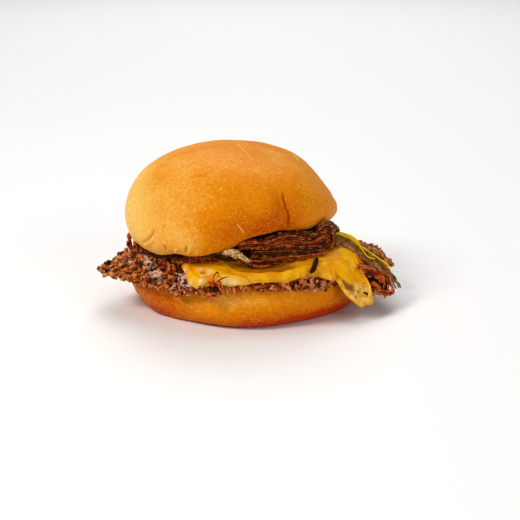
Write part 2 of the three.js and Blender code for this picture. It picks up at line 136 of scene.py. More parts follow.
# The core of the onion heap: its reach and its middle.
ONION_CORE = [38, 40, 42, 38, 30, 24, 21, 26, 36, 43, 44, 41]
ONION_CENTRE = np.array([2.0, -2.0])

# Lines pressed into the roll's skin: points, half width, depth and darkness, which paints shade into the
# groove. Below 0 a line is raised or paler, mostly painting a highlight along a fold or wrinkle.
CROWN_LINES = [
    ([(15.9, -39.5, 64.3), (16.3, -40.8, 61.7), (16.8, -41.8, 59), (18, -42, 55.7), (18.5, -41.9, 52.3),
      (18.5, -40.7, 48.1), (18.6, -37.7, 44.3)], 0.36, 1.6, 1.1),
    ([(-5.8, -52.3, 51.6), (-4.4, -52.2, 50.2), (-2.6, -51.6, 47.4), (-1.2, -50.6, 45.2)], 0.35, 0.35, -0.8),
    ([(-38.5, -48.5, 50.9), (-39.4, -48.2, 49.6), (-40.7, -47.4, 47.4)], 0.4, 0.45, 0.45),
    ([(-43.7, -45.1, 48), (-45.3, -43.2, 44.9), (-46.7, -41.2, 42.3), (-48.8, -37.1, 39.5),
      (-51.2, -30.7, 36.2)], 0.7, 1.3, 0.35),
    ([(-44.3, -44.1, 43.6), (-45.5, -42.2, 41.1), (-47.6, -38.3, 38.6), (-50, -32.8, 36.3)], 0.9, -1.0, -0.6),
    ([(-6.9, 12.8, 77.2), (-4.1, -1.6, 77.2), (-1, -12.1, 76.6), (1, -19.2, 75.8)], 0.5, 0.4, -0.5),
    ([(21.2, 19.3, 70.4), (23.1, 13.7, 69.8), (25, 8.2, 68.8)], 0.9, 0.3, -0.9),
    ([(-27.6, -37.1, 70), (-23.3, -37.4, 70.8), (-19.1, -38.1, 70.9)], 0.8, 0.45, 0.25),
    ([(-13.5, -44.4, 67.1), (-12.4, -45.4, 66.1)], 0.4, 0.2, -0.7),
    ([(-40.3, -46.3, 39.6), (-39.6, -46, 38.1), (-39.3, -44.8, 36)], 0.5, 1.2, 0.7),
    ([(-35.2, -46.7, 35.3), (-34.6, -48, 36.9), (-33.8, -49.3, 38.5)], 0.5, -0.7, -0.8),
    ([(-28.5, -48.7, 35.6), (-27.8, -50.5, 38.1), (-27.1, -51.6, 40.1), (-26.1, -52, 41.2)], 0.5, -0.5, -0.7),
    ([(-29.4, -49, 36), (-29.5, -50.4, 38.3), (-28.9, -51.3, 40.3)], 0.5, 1.1, 0.5),
    ([(-24.2, -49.3, 36.1), (-23.9, -50.9, 38.2)], 0.4, -0.6, -0.7),
    ([(-21, -48.6, 35.6), (-19.9, -50.6, 37.7), (-18.9, -51.1, 38.8)], 0.5, 0.9, 0.4),
    ([(30, 36, 60), (33, 30, 64), (34, 22, 67)], 0.6, 0.4, 0.2),
    ([(-30, 42, 52), (-27, 44, 47), (-26, 44.5, 42)], 0.6, 0.7, 0.4),
    ([(8, 50, 48), (9, 49.5, 43), (9, 48, 39)], 0.5, 0.6, 0.3),
    ([(44, 8, 50), (42, 12, 54), (38, 16, 58)], 0.5, 0.4, -0.5),
]
HEEL_LINES = [
    ([(-54.8, -23.7, 13.5), (-52.5, -28, 14.2), (-50.2, -31.6, 15)], 0.7, 0.6, 0.35),
    ([(-37.7, -42.3, 16.4), (-32.8, -45.8, 12.5), (-28.9, -48, 10.7), (-25.5, -49.5, 9.2)], 1.6, -0.7, -0.25),
    ([(-39.8, -41, 15.4), (-35.4, -44.6, 11.3), (-31, -47, 9.2), (-27.4, -48.8, 7.6)], 1.1, 0.5, 0.2),
    ([(20, 52, 15), (28, 48, 12), (33, 45, 8)], 0.8, 0.5, 0.3),
]

# Folds on the slice, seen from above: points, half width and height.
CHEESE_FOLDS = [
    ([(-10.5, -43.9), (-8, -47.4), (-4.9, -50), (-1.4, -50.9), (4.5, -50.8), (9.5, -49.7), (14.3, -47.9),
      (18.3, -45.5), (22.3, -43.5), (25.8, -41.1)], 1.0, -1.2),
    ([(-13.7, -42.9), (-11.2, -46.1), (-7.3, -49.4), (-3.3, -52.2), (4, -53)], 1.1, 0.6),
    ([(-9.2, -51.8), (-5.2, -53.5), (-1.3, -55), (2.5, -56.4)], 0.4, -0.5),
    ([(-16.9, -45.3), (-12.7, -44.6), (-7.9, -47.9)], 0.6, 0.4),
    ([(-20.7, -46.8), (-15.8, -49.9), (-11.1, -51.6)], 1.0, 0.4),
    ([(-29, -43), (-27.4, -47), (-25, -51)], 0.8, 0.5),
    ([(6, -52.6), (14, -50.4), (20.4, -47.4), (27, -43.6)], 1.1, 0.6),
    ([(33.1, -38.1), (37, -36.4), (41.4, -35.4), (44.8, -34.8), (47.7, -34.8), (50.1, -36),
      (52.5, -36.3)], 0.8, 0.8),
    ([(33, -35.4), (38, -33.6), (43, -32.4), (46.4, -32)], 1.0, -0.5),
    ([(53.2, -25.6), (51.7, -29.6), (50.3, -33.2)], 0.6, 0.9),
    ([(48.4, -30.6), (50.4, -30.7), (51.8, -32.5)], 0.5, -0.7),
    ([(43, -27), (45.4, -29.4), (47.8, -30)], 0.5, 0.5),
    ([(24, -45), (31, -42.2), (37, -40.4), (42, -39.6)], 1.6, 0.8),
    ([(41, -42.6), (43.5, -41.7), (45.6, -41.3), (48.3, -41), (51.3, -39.4), (54.4, -37.2)], 0.7, 0.7),
    ([(54.7, -33.5), (56.8, -32.2), (58.2, -33.2), (58.7, -35.9), (59.9, -37.1), (60.3, -38.4)], 0.9, 1.6),
    ([(56, -35.4), (56.6, -38), (57.4, -41)], 0.6, -0.6),
]
# Painted shade where the slice is tucked under the heap and in its folds, seen from above: points, half width
# and strength.
CHEESE_SHADES = [
    ([(-8, -47.4), (-4.9, -50), (-1.4, -50.9), (4.5, -50.8), (9.5, -49.7), (14.3, -47.9), (18.3, -45.5),
      (25.8, -41.1)], 1.1, 1.0),
    ([(-6, -46.4), (-1, -48.6), (5, -48.6), (11, -47), (17, -44), (23, -40.6)], 2.2, 0.9),
    ([(-9.2, -51.8), (-5.2, -53.5), (-1.3, -55), (2.5, -56.4)], 0.4, 0.5),
    ([(-29, -41.8), (-22, -44.2), (-15, -44.4)], 0.9, 0.35),
    ([(41.5, -43.6), (43.6, -42.8), (45.4, -42.5), (48.3, -42.5), (51.3, -41), (54.4, -38.8)], 0.4, 0.7),
    ([(56, -35.4), (56.6, -38), (57.4, -41)], 0.5, 0.5),
    ([(48.4, -30.6), (50.4, -30.7), (51.8, -32.5)], 0.4, 0.5),
]
# The middle of the blistered corner, and the painted shadow line under the fold above it, seen from above.
CHEESE_PATCH = [(46.8, -44.2), (50.8, -41.8), (53.9, -39.8), (57.5, -36.5)]
CHEESE_SEAM_SHADOW = [(42.1, -40.5), (43.6, -40.7), (45.0, -40.9), (47.0, -41.1), (49.4, -40.4), (51.9, -39.4)]
# The fold in front of which the corner drops, seen from above.
CHEESE_SKIRT = [
    (41, -42.4), (43.5, -41.4), (45.4, -40.8), (48.3, -40.5), (51.3, -39.2), (54.4, -37.6), (57, -36.2),
]
# Creamy places where the slice fried, many of them painted glints: place seen from above, radius and
# strength.
CHEESE_CREAM_AND_GLINTS = [
    (-31.2, -43.4, 1.0, 0.8), (-30.2, -46.3, 0.9, 0.9), (-28.1, -50.5, 0.9, 1), (-26.8, -53, 1.1, 1),
    (-25.5, -55.4, 0.9, 1), (-22.8, -52.9, 0.8, 0.9), (-21.1, -53, 0.7, 0.7), (-23.4, -47.2, 0.7, 0.9),
    (-18.6, -49.9, 1, 0.9), (-11.5, -55.6, 0.9, 0.7), (-9, -56.4, 1, 0.8), (-6.6, -56.6, 0.9, 0.7),
    (-4.6, -57.2, 1, 0.8), (-2.6, -57.8, 0.8, 1), (0, -57, 0.8, 0.8), (2.4, -56.2, 0.7, 1),
    (29.9, -46.5, 1, 0.6), (33, -45, 0.9, 0.9), (36.2, -43.8, 0.9, 0.7), (39.6, -42.4, 0.8, 0.6),
    (-12.5, -44.5, 0.6, 0.5), (49.6, -30.6, 0.6, 0.5), (47, -29.4, 0.5, 0.6),
]
# Small blisters on the slice: place seen from above, radius and depth.
CHEESE_PITS = [
    (-21.3, -48.8, 1.3, 1.3), (-23.3, -47.4, 0.7, 0.5),
    (53.4, -38.5, 0.5, 0.9), (55.4, -38.2, 0.4, 0.7), (56.6, -38.0, 0.35, 0.6), (51.9, -40.3, 0.4, 0.6),
    (49.4, -42.2, 0.4, 0.5), (53.8, -40.7, 0.5, 0.7), (50.8, -42.7, 0.35, 0.5), (57.5, -36.5, 0.4, 0.6),
]

# The fried ribbons at the front right: points, width, thickness, lean in degrees and tone.
RIBBONS = [
    ([(-5, -48.3, 38.7), (-1.3, -47.9, 39.8), (3.4, -46.9, 39.6), (8.1, -45.5, 39.6), (11.9, -44.2, 40.7),
      (16.2, -42.3, 41.4), (20, -40.4, 41.4), (24.8, -37.6, 40.1), (29.2, -34.6, 39), (32.7, -31.6, 39.5),
      (35.8, -28.4, 40.3), (37.8, -25.5, 41.6), (38.3, -24.7, 43.4)], 2.5, 1.0, 12, 0.8),
    ([(-2.2, -46.5, 40.6), (6.2, -44.6, 40.1), (11.9, -42.5, 41.7), (17.1, -40.2, 42.8), (22.9, -37, 42.4),
      (28.3, -33.4, 40.9), (32.3, -30, 41.3), (35.3, -26.5, 42.3), (37.4, -23.3, 43.5)], 2.0, 0.8, -20, 0.25),
    ([(22.3, -40.6, 44.4), (25.2, -38.8, 43.7), (28.7, -36.6, 41.8), (31.1, -34.7, 41.5),
      (33.6, -32.6, 42.7)], 1.5, 0.8, 20, 0.2),
    ([(24.4, -37.3, 39.3), (29.8, -33.5, 37.5), (34.3, -29.3, 38.1), (36.9, -26, 38.7), (39, -22.4, 40.2)],
     1.0, 0.8, 0, 1.3),
    ([(6.2, -46.2, 37.9), (12.4, -44, 38.5), (19, -41, 38.6), (24.4, -37.9, 37.2), (28.3, -35.3, 36.9),
      (31.8, -32.4, 36.4), (35.8, -28.3, 36.6), (38.4, -24.5, 37.8),
      (39.4, -22.6, 40.3)], 1.7, 0.9, -15, 0.95),
    ([(9.1, -45.8, 37.3), (17.6, -42.2, 36.9), (23.4, -39.1, 36), (28.8, -35.5, 34.7), (33.8, -31.2, 34.1),
      (37.9, -26.3, 34.5), (39.7, -23.3, 36.4), (40.2, -22.2, 39.7)], 2.4, 1.0, 18, 0.5),
    ([(0.6, -47.5, 34.8), (6.2, -46.1, 34.9), (12.4, -43.9, 34.5), (19.6, -40.5, 33.8), (27.4, -35.8, 32.4),
      (32.3, -31.8, 32.1), (35.9, -28.1, 32.5), (39, -23.3, 33.9), (40.7, -19.5, 36.4)], 3.0, 1.0, -10, 0.35),
    ([(6.2, -47.7, 32.2), (11, -46.2, 32.3), (14.8, -44.6, 32.5), (18.6, -42.8, 32.3), (22.4, -40.7, 31.9),
      (26.8, -38.1, 31.6), (30.7, -35.3, 31.3), (34.8, -31.6, 30.6), (37.8, -28.1, 31), (40.3, -24.4, 32.7),
      (41.3, -22.2, 35.1), (40.9, -23.1, 38.4), (39.8, -25.3, 42)], 1.4, 1.2, 0, 1.1),
    ([(-5, -49.5, 34.2), (-0.8, -48.9, 32.5), (3.9, -47.9, 31.6), (6.7, -47.2, 31.3), (9.5, -46.2, 30.9),
      (12.4, -45.2, 31.2), (16.7, -43.3, 30.9), (22.5, -40.3, 30.2), (25.9, -38.3, 30), (29.8, -35.5, 29.6),
      (33.8, -32, 29.2), (36.9, -28.7, 29.6), (40, -23.9, 31.3), (42.2, -18.4, 33), (43.2, -13.6, 34.8)],
     1.5, 1.1, 10, 0.7),
    ([(-5.9, -50.3, 34.9), (-3.6, -50.1, 33.4), (-1.7, -49.8, 31.8), (0.1, -49.6, 30.5), (3, -49, 30),
      (6.2, -48.1, 29.9), (10, -46.9, 30), (13.8, -45.4, 30.5), (16.2, -44.4, 31)], 1.3, 0.9, 25, 0.5),
    ([(33.1, -32.6, 44), (35.1, -30.6, 45.2), (37.7, -27.5, 45.3), (39.8, -24.2, 44), (42.1, -18.5, 40.7),
      (44, -12.5, 36.9), (43.9, -11.5, 33.2), (42.3, -15.9, 32.9)], 1.6, 1.0, 10, 0.7),
    ([(35.2, -29.5, 43.1), (37.8, -26.1, 43.2), (39.9, -22.3, 41.5), (41.7, -17.2, 38.1), (42.1, -15.5, 34.8),
      (40.9, -20, 33.5)], 1.5, 0.9, -10, 0.5),
    ([(32.2, -31.4, 42.7), (34.7, -28.8, 43.2), (37.3, -25.4, 43.3), (39.5, -21.3, 40.9),
      (40.7, -17.9, 37.5)], 1.5, 1.0, 15, 1.0),
    ([(37, -29.9, 46.7), (39.6, -26.3, 45.4), (41.9, -22.1, 42.7), (44.2, -15, 38.9), (44.6, -11.6, 34.7)],
     1.4, 0.9, 20, 0.45),
]
# A ribbon that is wider than this is torn in five, and another in three.
WIDE_RIBBON = 1.6
# Single strands: the dark end that hangs from the hank, the one that lies under the crown at the left,
# a golden one over the slice, the dark flake at the left of the hank and the pale fried end over it.
DANGLING = [
    (33, -35.8, 30.8), (32.4, -37.6, 30), (31.8, -40.2, 29), (31, -43, 27.8), (30, -45.2, 26.8),
    (29.2, -46.9, 26),
]
UNDER_CROWN = [
    (-36.8, -38.1, 30.3), (-32.8, -39.8, 30.6), (-29.0, -41.0, 30.9), (-25.1, -42.1, 31.2),
    (-21.3, -42.5, 31.5), (-17.5, -42.7, 31.9), (-14.6, -42.3, 32.1),
]
GOLDEN = [(1.6, -49.4, 30.4), (4.6, -49.2, 30.1), (7.6, -48.4, 30), (10.4, -47.6, 30.4)]
FLAKE = [
    (-20, -48.7, 34.1), (-16.7, -49.4, 35.3), (-12.5, -49.9, 34.7), (-8.3, -50.1, 33.8),
    (-5, -49.9, 33.2),
]
PALE_END = [
    (-12.6, -49.5, 36.4), (-9.4, -49.7, 37.3), (-6.4, -49.6, 36.6), (-3.1, -49.3, 34.6), (1.2, -48.7, 32),
]

# The wide petal: its middle line, its half width at equal steps, and how far its blade tilts.
PETAL_PATH = [
    (41.2, -19.4, 34.8), (43.7, -19, 35), (47.1, -19.3, 33.5), (50.6, -19.5, 31.8), (53.6, -18.8, 29),
    (55.7, -18.1, 27), (58.8, -17, 24.6), (62.5, -15.7, 21.9), (66.1, -14.7, 19.1), (69.3, -13.8, 16.2),
    (71.4, -13.2, 13.9), (73.6, -12.6, 11.1),
]
PETAL_HALF = [2.2, 2.5, 2.8, 3.2, 3.5, 3.9, 4.1, 4.1, 4.0, 3.5, 2.9, 2.0]
PETAL_TILT = np.radians(40)
# Painted glints on the petal: share of its length, and place across from -1 at the far edge to 1.
PETAL_GLINTS = [(0.42, 0.1), (0.64, 0.25), (0.66, 0.5), (0.85, 0.3), (0.2, 0.5), (0.26, 0.7)]
# The yellow films along the petal's far edge: points and width.
FILMS = [
    ([(42.6, -16.4, 37.4), (46.9, -16.6, 36.6), (49.4, -16.4, 35.9), (51.4, -15.6, 34.6), (53.4, -14.9, 32.5),
      (54.9, -15, 30.4)], 2.4),
    ([(53.4, -15.4, 32), (54.3, -15.8, 31.4), (55.9, -15.3, 30), (58.4, -14.2, 28.2), (61.4, -13.3, 25.9),
      (63.9, -12.9, 24), (66.5, -12, 22), (69.1, -10.9, 19.7), (70.6, -11.3, 17.7),
      (71.1, -13.6, 15.9)], 0.65),
    ([(54.3, -16.4, 31.4), (54.9, -17.4, 30.5), (56.2, -17.9, 28.7), (57.6, -18.6, 26.9), (59.1, -18.4, 25.7),
      (61.2, -17, 24.6), (62.7, -15.6, 24)], 0.6),
]
# The crisp shreds under the petal, from root to tip: points, width, lean in degrees and tone.
SHREDS = [
    ([(53, -26, 20.4), (57, -24, 18.6), (61, -23, 16), (64.4, -23.4, 13), (66.8, -24.6, 10.6)], 9.0, 58, 0.2),
    ([(50.3, -33.2, 21.4), (51.2, -30.4, 23), (53.1, -27.8, 24.3), (56.3, -24.9, 22.9), (60, -21.2, 21),
      (63.2, -19.8, 18.5), (65.2, -20.7, 16.2), (66.7, -23.1, 13.8)], 1.7, 20, 1.1),
    ([(50.6, -33.4, 20), (52.4, -30.2, 21.4), (55.6, -27.2, 20.8), (59.6, -23.8, 19), (62.9, -22.2, 16.6),
      (65, -23.2, 14.2), (66.2, -25.6, 12)], 5.2, -35, 0.75),
    ([(52, -33.6, 18), (55, -31, 17.8), (58.4, -28.4, 16.2), (61.8, -27, 13.8),
      (64.4, -27.8, 11.4)], 6.0, -40, 0.4),
    ([(67.6, -15.9, 15.2), (69.6, -16.3, 13.3), (70.7, -18.9, 11.5), (71.1, -22.5, 10),
      (70.3, -25.9, 9.6)], 2.6, -10, 0.9),
    ([(66.4, -18.5, 14.5), (67.8, -20.5, 12.5), (68.5, -23.4, 10.8), (68.2, -27, 9.9)], 3.0, -20, 0.6),
    ([(59.3, -31.2, 15.4), (61.6, -28.2, 14.9), (63, -28.6, 13.5), (63.9, -30.6, 12.1)], 1.8, -20, 1.2),
    ([(61.9, -30.9, 12.7), (65, -28.8, 11), (68.3, -26.4, 9.5), (70.6, -23.4, 8.8)], 2.2, -20, 0.7),
]
# The feathery green end of the petal.
PETAL_TIPS = [
    [(69, -12.6, 16), (70.6, -12, 15.1), (72.2, -11.6, 13.7), (74, -12.8, 11.7), (75.4, -14.6, 10.1),
     (75.4, -16.9, 9.3)],
    [(69, -13.6, 15.4), (70.4, -13.5, 14), (72.5, -13.4, 12.4), (73.8, -15, 10.8), (74.6, -17.4, 9.4)],
    [(68.4, -15, 14.8), (69.7, -15.5, 13.5), (71.2, -16, 12.1), (72.6, -17.5, 10.5), (73.2, -19.4, 9.6)],
]
# The curled threads at the front edge: points, width and tone.
THREADS = [
    ([(-17, -59.3, 24.8), (-16.5, -59.2, 27), (-15.5, -59, 29.2), (-14.3, -59, 30.4),
      (-13.7, -59, 28.6)], 0.75, 0.8),
    ([(-15, -59.6, 25.6), (-13.2, -59.4, 26.9), (-10.9, -59.4, 28), (-8.6, -59.4, 28.2)], 0.65, 0.35),
    ([(-14, -60, 25.8), (-12.7, -60.8, 25.6), (-11.8, -61, 22.7), (-10.2, -61, 19.8),
      (-8.6, -61, 17.8)], 0.7, 1.2),
    ([(-13, -60.2, 25), (-9, -60.6, 23), (-5.6, -60.4, 20), (-3.4, -60.2, 17.8)], 0.45, 0.6),
    ([(-15.4, -59.6, 27.4), (-14.2, -59.4, 28.6), (-13, -59.4, 28.2), (-12.4, -59.5, 27)], 0.6, 0.8),
]
# The small web between the hanging threads.
THREAD_WEB = [(-14.5, -60.6, 26), (-13.4, -61, 23.6), (-11.6, -61.3, 21), (-10.4, -61.3, 18.6)]
# The knot that the threads grow from: number of lumps, spread, place, and the range of their tone.
THREAD_KNOT = [
    (60, (2.9, 0.7, 0.9), (-15.6, -60.2, 25), (0.5, 1.1)),
    (40, (2.2, 0.7, 1.4), (-14.6, -59.8, 22.7), (0, 0.2)),
]
# The fried rings at the left end: place seen from above, foot, height, width and seed.
FRIED_RINGS = [(-59.6, 2, 24.6, 7.6, 4.0, 5), (-56.4, -6, 25.6, 5.0, 2.6, 9)]

# Painted glints on the crust: place seen from above and radius.
CRUST_GLINTS = [
    (-50, -26, 1.8), (-49, -30, 2.0), (-47.4, -33.4, 1.6), (-46, -36.4, 2.2), (-44, -39.6, 2.0),
    (-41, -42.6, 1.1), (-33, -44, 1.7), (-30.8, -46, 1.8), (-31.9, -48.4, 1.3), (-29.3, -50, 1.5),
    (-28, -53, 0.9), (-62.5, -18, 1.6), (-36, -49, 1.2), (-26, -56.4, 1.1), (-58, -24, 1.3),
    (-54, -15, 1.4), (31, -50.2, 1.3), (35, -48.4, 1.5), (39, -46.4, 1.1), (-52, 22, 1.5), (-44, 36, 1.4),
    (10, 59, 1.4),
]
# Clumps of crumbs at the patty's edge: place, spread and number.
MEAT_CLUMPS = [
    (-22, -56.6, 21.4, 1.1, 18), (-19.4, -57.8, 19.6, 0.9, 14), (-28, -54.6, 20, 1.2, 18),
    (-65.8, -28, 18.2, 0.7, 9), (-60.6, -33, 18.6, 0.7, 9), (-56, -8, 26, 1.3, 16),
    (-54.6, -12, 27.4, 1.1, 12), (-33, -52, 19.4, 1.0, 12), (30, -52, 20.6, 1.1, 16),
    (35, -50, 19, 0.7, 8), (-44, -42, 21, 1.2, 16), (8, -58, 21.6, 1.0, 12),
    (-3, -59, 21.4, 0.9, 10), (24, -55, 21.4, 0.9, 12),
]
# Torn flakes of meat at the edge: points, width and paleness.
MEAT_FLAKES = [
    ([(13.4, -54.6, 24.2), (15.6, -55, 23.4), (18, -56, 22.2), (20.4, -57.4, 20.4)], 2.6, 0.75),
    ([(-64.9, -6.7, 22.9), (-64.9, -6.9, 24.4), (-63.9, -7.4, 25.4), (-62.4, -8.2, 25.2)], 1.1, 0.3),
    ([(26.4, -53, 23), (28.4, -52.6, 22), (30.4, -52.2, 20.6)], 1.8, 0.6),
    ([(34.4, -49.6, 21.4), (35, -50.4, 19.6), (35.4, -51, 17.6)], 1.4, 0.2),
    ([(-23, -57.6, 21.4), (-20.6, -58.6, 20), (-18.4, -59, 18.6)], 1.6, 0.4),
]

# The lamps, in metres: name, place, the point that each one faces, width, power and colour.
LAMPS = [
    ("key", (-0.75, -0.55, 0.85), (0, 0, 0.04), 0.45, 8.8, (1, 0.97, 0.93)),
    ("fill", (0.8, -0.9, 0.5), (0, 0, 0.04), 0.9, 4.6, (1, 0.98, 0.96)),
    ("top", (0.1, 0.35, 1.1), (0, 0, 0.04), 0.9, 3.8, (1, 1, 1)),
    ("backdrop", (0, 1.6, 1.4), (0, 1.6, 0), 1.5, 18.5, (1, 1, 1)),
]
SKY_STRENGTH = 0.15
# Half the floor's width, in metres.
FLOOR_HALF = 6
# The camera: place in metres, pitch in degrees up from straight down, lens and sensor in millimetres.
CAMERA_PLACE, CAMERA_PITCH, CAMERA_LENS, CAMERA_SENSOR = (0.0053, -0.612, 0.199), 73.6, 86.6, 36


def ring(values, angle):
    """A smooth closed function of direction: a Catmull-Rom curve through values at equal steps."""
    values = np.asarray(values, float)
    n = len(values)
    t = np.mod(np.asarray(angle) / TURN * n, n)
    i = np.floor(t).astype(int)
    f = t - i
    a, b, c, d = (values[(i + k) % n] for k in (-1, 0, 1, 2))
    return b + 0.5 * f * (c - a + f * (2 * a - 5 * b + 4 * c - d + f * (3 * (b - c) + d - a)))


def smooth(x, low, high):
    """A share that rises from 0 at low to 1 at high with level ends."""
    t = np.clip((np.asarray(x) - low) / (high - low), 0, 1)
    return t * t * (3 - 2 * t)


def bell(x, width):
    """A hump of height 1 at 0 that has fallen to 1/e one width away."""
    return np.exp(-((np.asarray(x) / width) ** 2))


def lobe(angle, at, width):
    """A hump of height 1 round one direction, both in degrees."""
    away = np.mod(np.degrees(angle) - at + 180, 360) - 180
    return bell(away, width)


def lobes(angle, table):
    """The sum of several lobes, each given by its direction, width and height."""
    return sum(height * lobe(angle, at, width) for at, width, height in table)


def curve(points, t):
    """A smooth open curve at shares t: Catmull-Rom through the points, with its ends carried on."""
    points = np.asarray(points, float)
    ends = np.concatenate([[2 * points[0] - points[1]], points, [2 * points[-1] - points[-2]]])
    s = np.clip(t, 0, 1) * (len(points) - 1)
    i = np.minimum(s.astype(int), len(points) - 2)
    f = (s - i)[:, None]
    a, b, c, d = (ends[i + k] for k in range(4))
    return b + 0.5 * f * (c - a + f * (2 * a - 5 * b + 4 * c - d + f * (3 * (b - c) + d - a)))


def unit(vectors):
    """Vectors divided by their lengths."""
    return vectors / np.maximum(np.linalg.norm(vectors, axis=-1, keepdims=True), 1e-12)


def draws(cell, seed):
    """A fixed draw from 0 to 1 for each whole-number cell, by mixing the bits of its numbers."""
    h = (cell * CELL_MIX).sum(-1) + seed * SEED_MIX + SEED_START
    h = ((h & BITS) ^ (h >> 13 & 0x7FFFF)) * BIT_MIX[0] & BITS
    h = (h ^ h >> 15) * BIT_MIX[1] & BITS
    return ((h ^ h >> 16) & 0xFFFFFF) / 0xFFFFFF


def noise(points, size, seed):
    """Smooth noise from -1 to 1: draws at the corners of cells of that size, blended smoothly."""
    p = points / size
    cell = np.floor(p).astype(np.int64)
    f = p - cell
    f = f * f * (3 - 2 * f)
    total = 0
    for corner in product((0, 1), repeat=3):
        share = np.prod(np.where(corner, f, 1 - f), axis=-1)
        total = total + share * draws(cell + np.array(corner), seed)
    return 2 * total - 1


def grains(points, size, seed):
    """Rounded grains from 0 to 1: one minus the squared distance to the nearest drawn centre."""
    p = points / size
    cell = np.floor(p).astype(np.int64)
    nearest = np.full(p.shape[:-1], 9.0)
    for step in product((-1, 0, 1), repeat=3):
        there = cell + np.array(step)
        centre = there + np.stack([draws(there, seed + 7 * k) for k in range(3)], -1)
        nearest = np.minimum(nearest, ((p - centre) ** 2).sum(-1))
    return np.clip(1 - nearest, 0, 1)


def line_distance(points, path):
    """Distance of every point to a bent line, and the share of its length at the nearest place."""
    path = np.asarray(path, float)
    best = np.full(points.shape[:-1], 1e9)
    share = np.zeros(points.shape[:-1])
    for i, (a, b) in enumerate(zip(path[:-1], path[1:])):
        along = b - a
        t = np.clip(((points - a) @ along) / max(along @ along, 1e-9), 0, 1)
        away = np.linalg.norm(points - a - t[..., None] * along, axis=-1)
        closer = away < best
        best = np.where(closer, away, best)
        share = np.where(closer, (i + t) / (len(path) - 1), share)
    return best, share


def front_dense(columns, facing=262):
    """Directions all round, in radians, closer together near the facing one, which is in degrees."""
    t = TURN * np.arange(columns) / columns
    back = np.radians(facing - 180)
    return np.sort(np.mod(t + 0.42 * np.sin(t - back), TURN))


def polar(radius, angle, z, centre=(0.0, 0.0)):
    """Points at a radius and direction from a centre, at height z."""
    radius, angle, z = np.broadcast_arrays(radius, angle, z)
    return np.stack([centre[0] + radius * np.cos(angle), centre[1] + radius * np.sin(angle), z], -1)


def outward(grid):
    """Unit normals of a closed grid: the cross product of its steps around and along, turned out."""
    around = np.roll(grid, -1, 1) - np.roll(grid, 1, 1)
    normal = unit(np.cross(around, np.gradient(grid, axis=0)))
    away = grid - grid.mean((0, 1))
    return normal * np.sign((normal * away).sum(-1).mean())


def closed(grid, **values):
    """Faces of a grid of rows that run round a shape: quads between rows, and a fan of triangles to
    the middle of the first and of the last row, all turned out by the sign of the volume that they
    enclose. Values are numbers per grid point."""
    rows, columns = grid.shape[:2]
    c = np.arange(columns)
    beside = (c + 1) % columns
    start = columns * np.arange(rows - 1)[:, None]
    a, b = start + c, start + beside
    quads = np.stack([a, b, b + columns, a + columns], -1).reshape(-1, 4)
    low, high = np.full(columns, rows * columns), np.full(columns, rows * columns + 1)
    last = (rows - 1) * columns
    fans = [np.stack([low, beside, c], -1), np.stack([high, last + c, last + beside], -1)]
    points = np.concatenate([grid.reshape(-1, 3), grid[:1].mean(1), grid[-1:].mean(1)])
    kept = {}
    for name, value in values.items():
        value = np.broadcast_to(value, (rows, columns))
        kept[name] = np.concatenate([value.ravel(), [value[0].mean(), value[-1].mean()]])
    triangles = np.concatenate(fans)
    a, b, c = (points[quads[:, k]] for k in range(3))
    d = points[quads[:, 3]]
    volume = (np.cross(a, b) * c + np.cross(a, c) * d).sum()
    volume += (np.cross(points[triangles[:, 0]], points[triangles[:, 1]]) * points[triangles[:, 2]]).sum()
    if volume < 0:
        quads, triangles = quads[:, ::-1], triangles[:, ::-1]
    return points, quads, triangles, kept


def joined(shapes):
    """Several shapes as one, with their points and faces counted on."""
    start = np.cumsum([0] + [len(s[0]) for s in shapes[:-1]])
    points = np.concatenate([s[0] for s in shapes])
    quads = np.concatenate([s[1] + k for s, k in zip(shapes, start)])
    triangles = np.concatenate([s[2] + k for s, k in zip(shapes, start)])
    return points, quads, triangles, {n: np.concatenate([s[3][n] for s in shapes]) for n in shapes[0][3]}


def add_piece(name, shape, material, slot, *nodes):
    """Makes a mesh object of a shape in millimetres, shaded smooth, that stands for those nodes."""
    points, quads, triangles, values = shape
    mesh = bpy.data.meshes.new(name)
    corners = np.concatenate([quads.ravel(), triangles.ravel()])
    starts = np.concatenate([4 * np.arange(len(quads)), quads.size + 3 * np.arange(len(triangles))])
    mesh.vertices.add(len(points))
    mesh.vertices.foreach_set("co", (points * MM).ravel())
    mesh.loops.add(len(corners))
    mesh.loops.foreach_set("vertex_index", corners)
    mesh.polygons.add(len(starts))
    mesh.polygons.foreach_set("loop_start", starts)
    mesh.update(calc_edges=True)
    mesh.shade_smooth()
    for key, value in values.items():
        mesh.attributes.new(key, "FLOAT", "POINT").data.foreach_set("value", value)
    mesh.materials.append(material)
    piece = bpy.data.objects.new(name, mesh)
    bpy.context.scene.collection.objects.link(piece)
    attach(piece, "root")
    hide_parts(*nodes)
    return piece


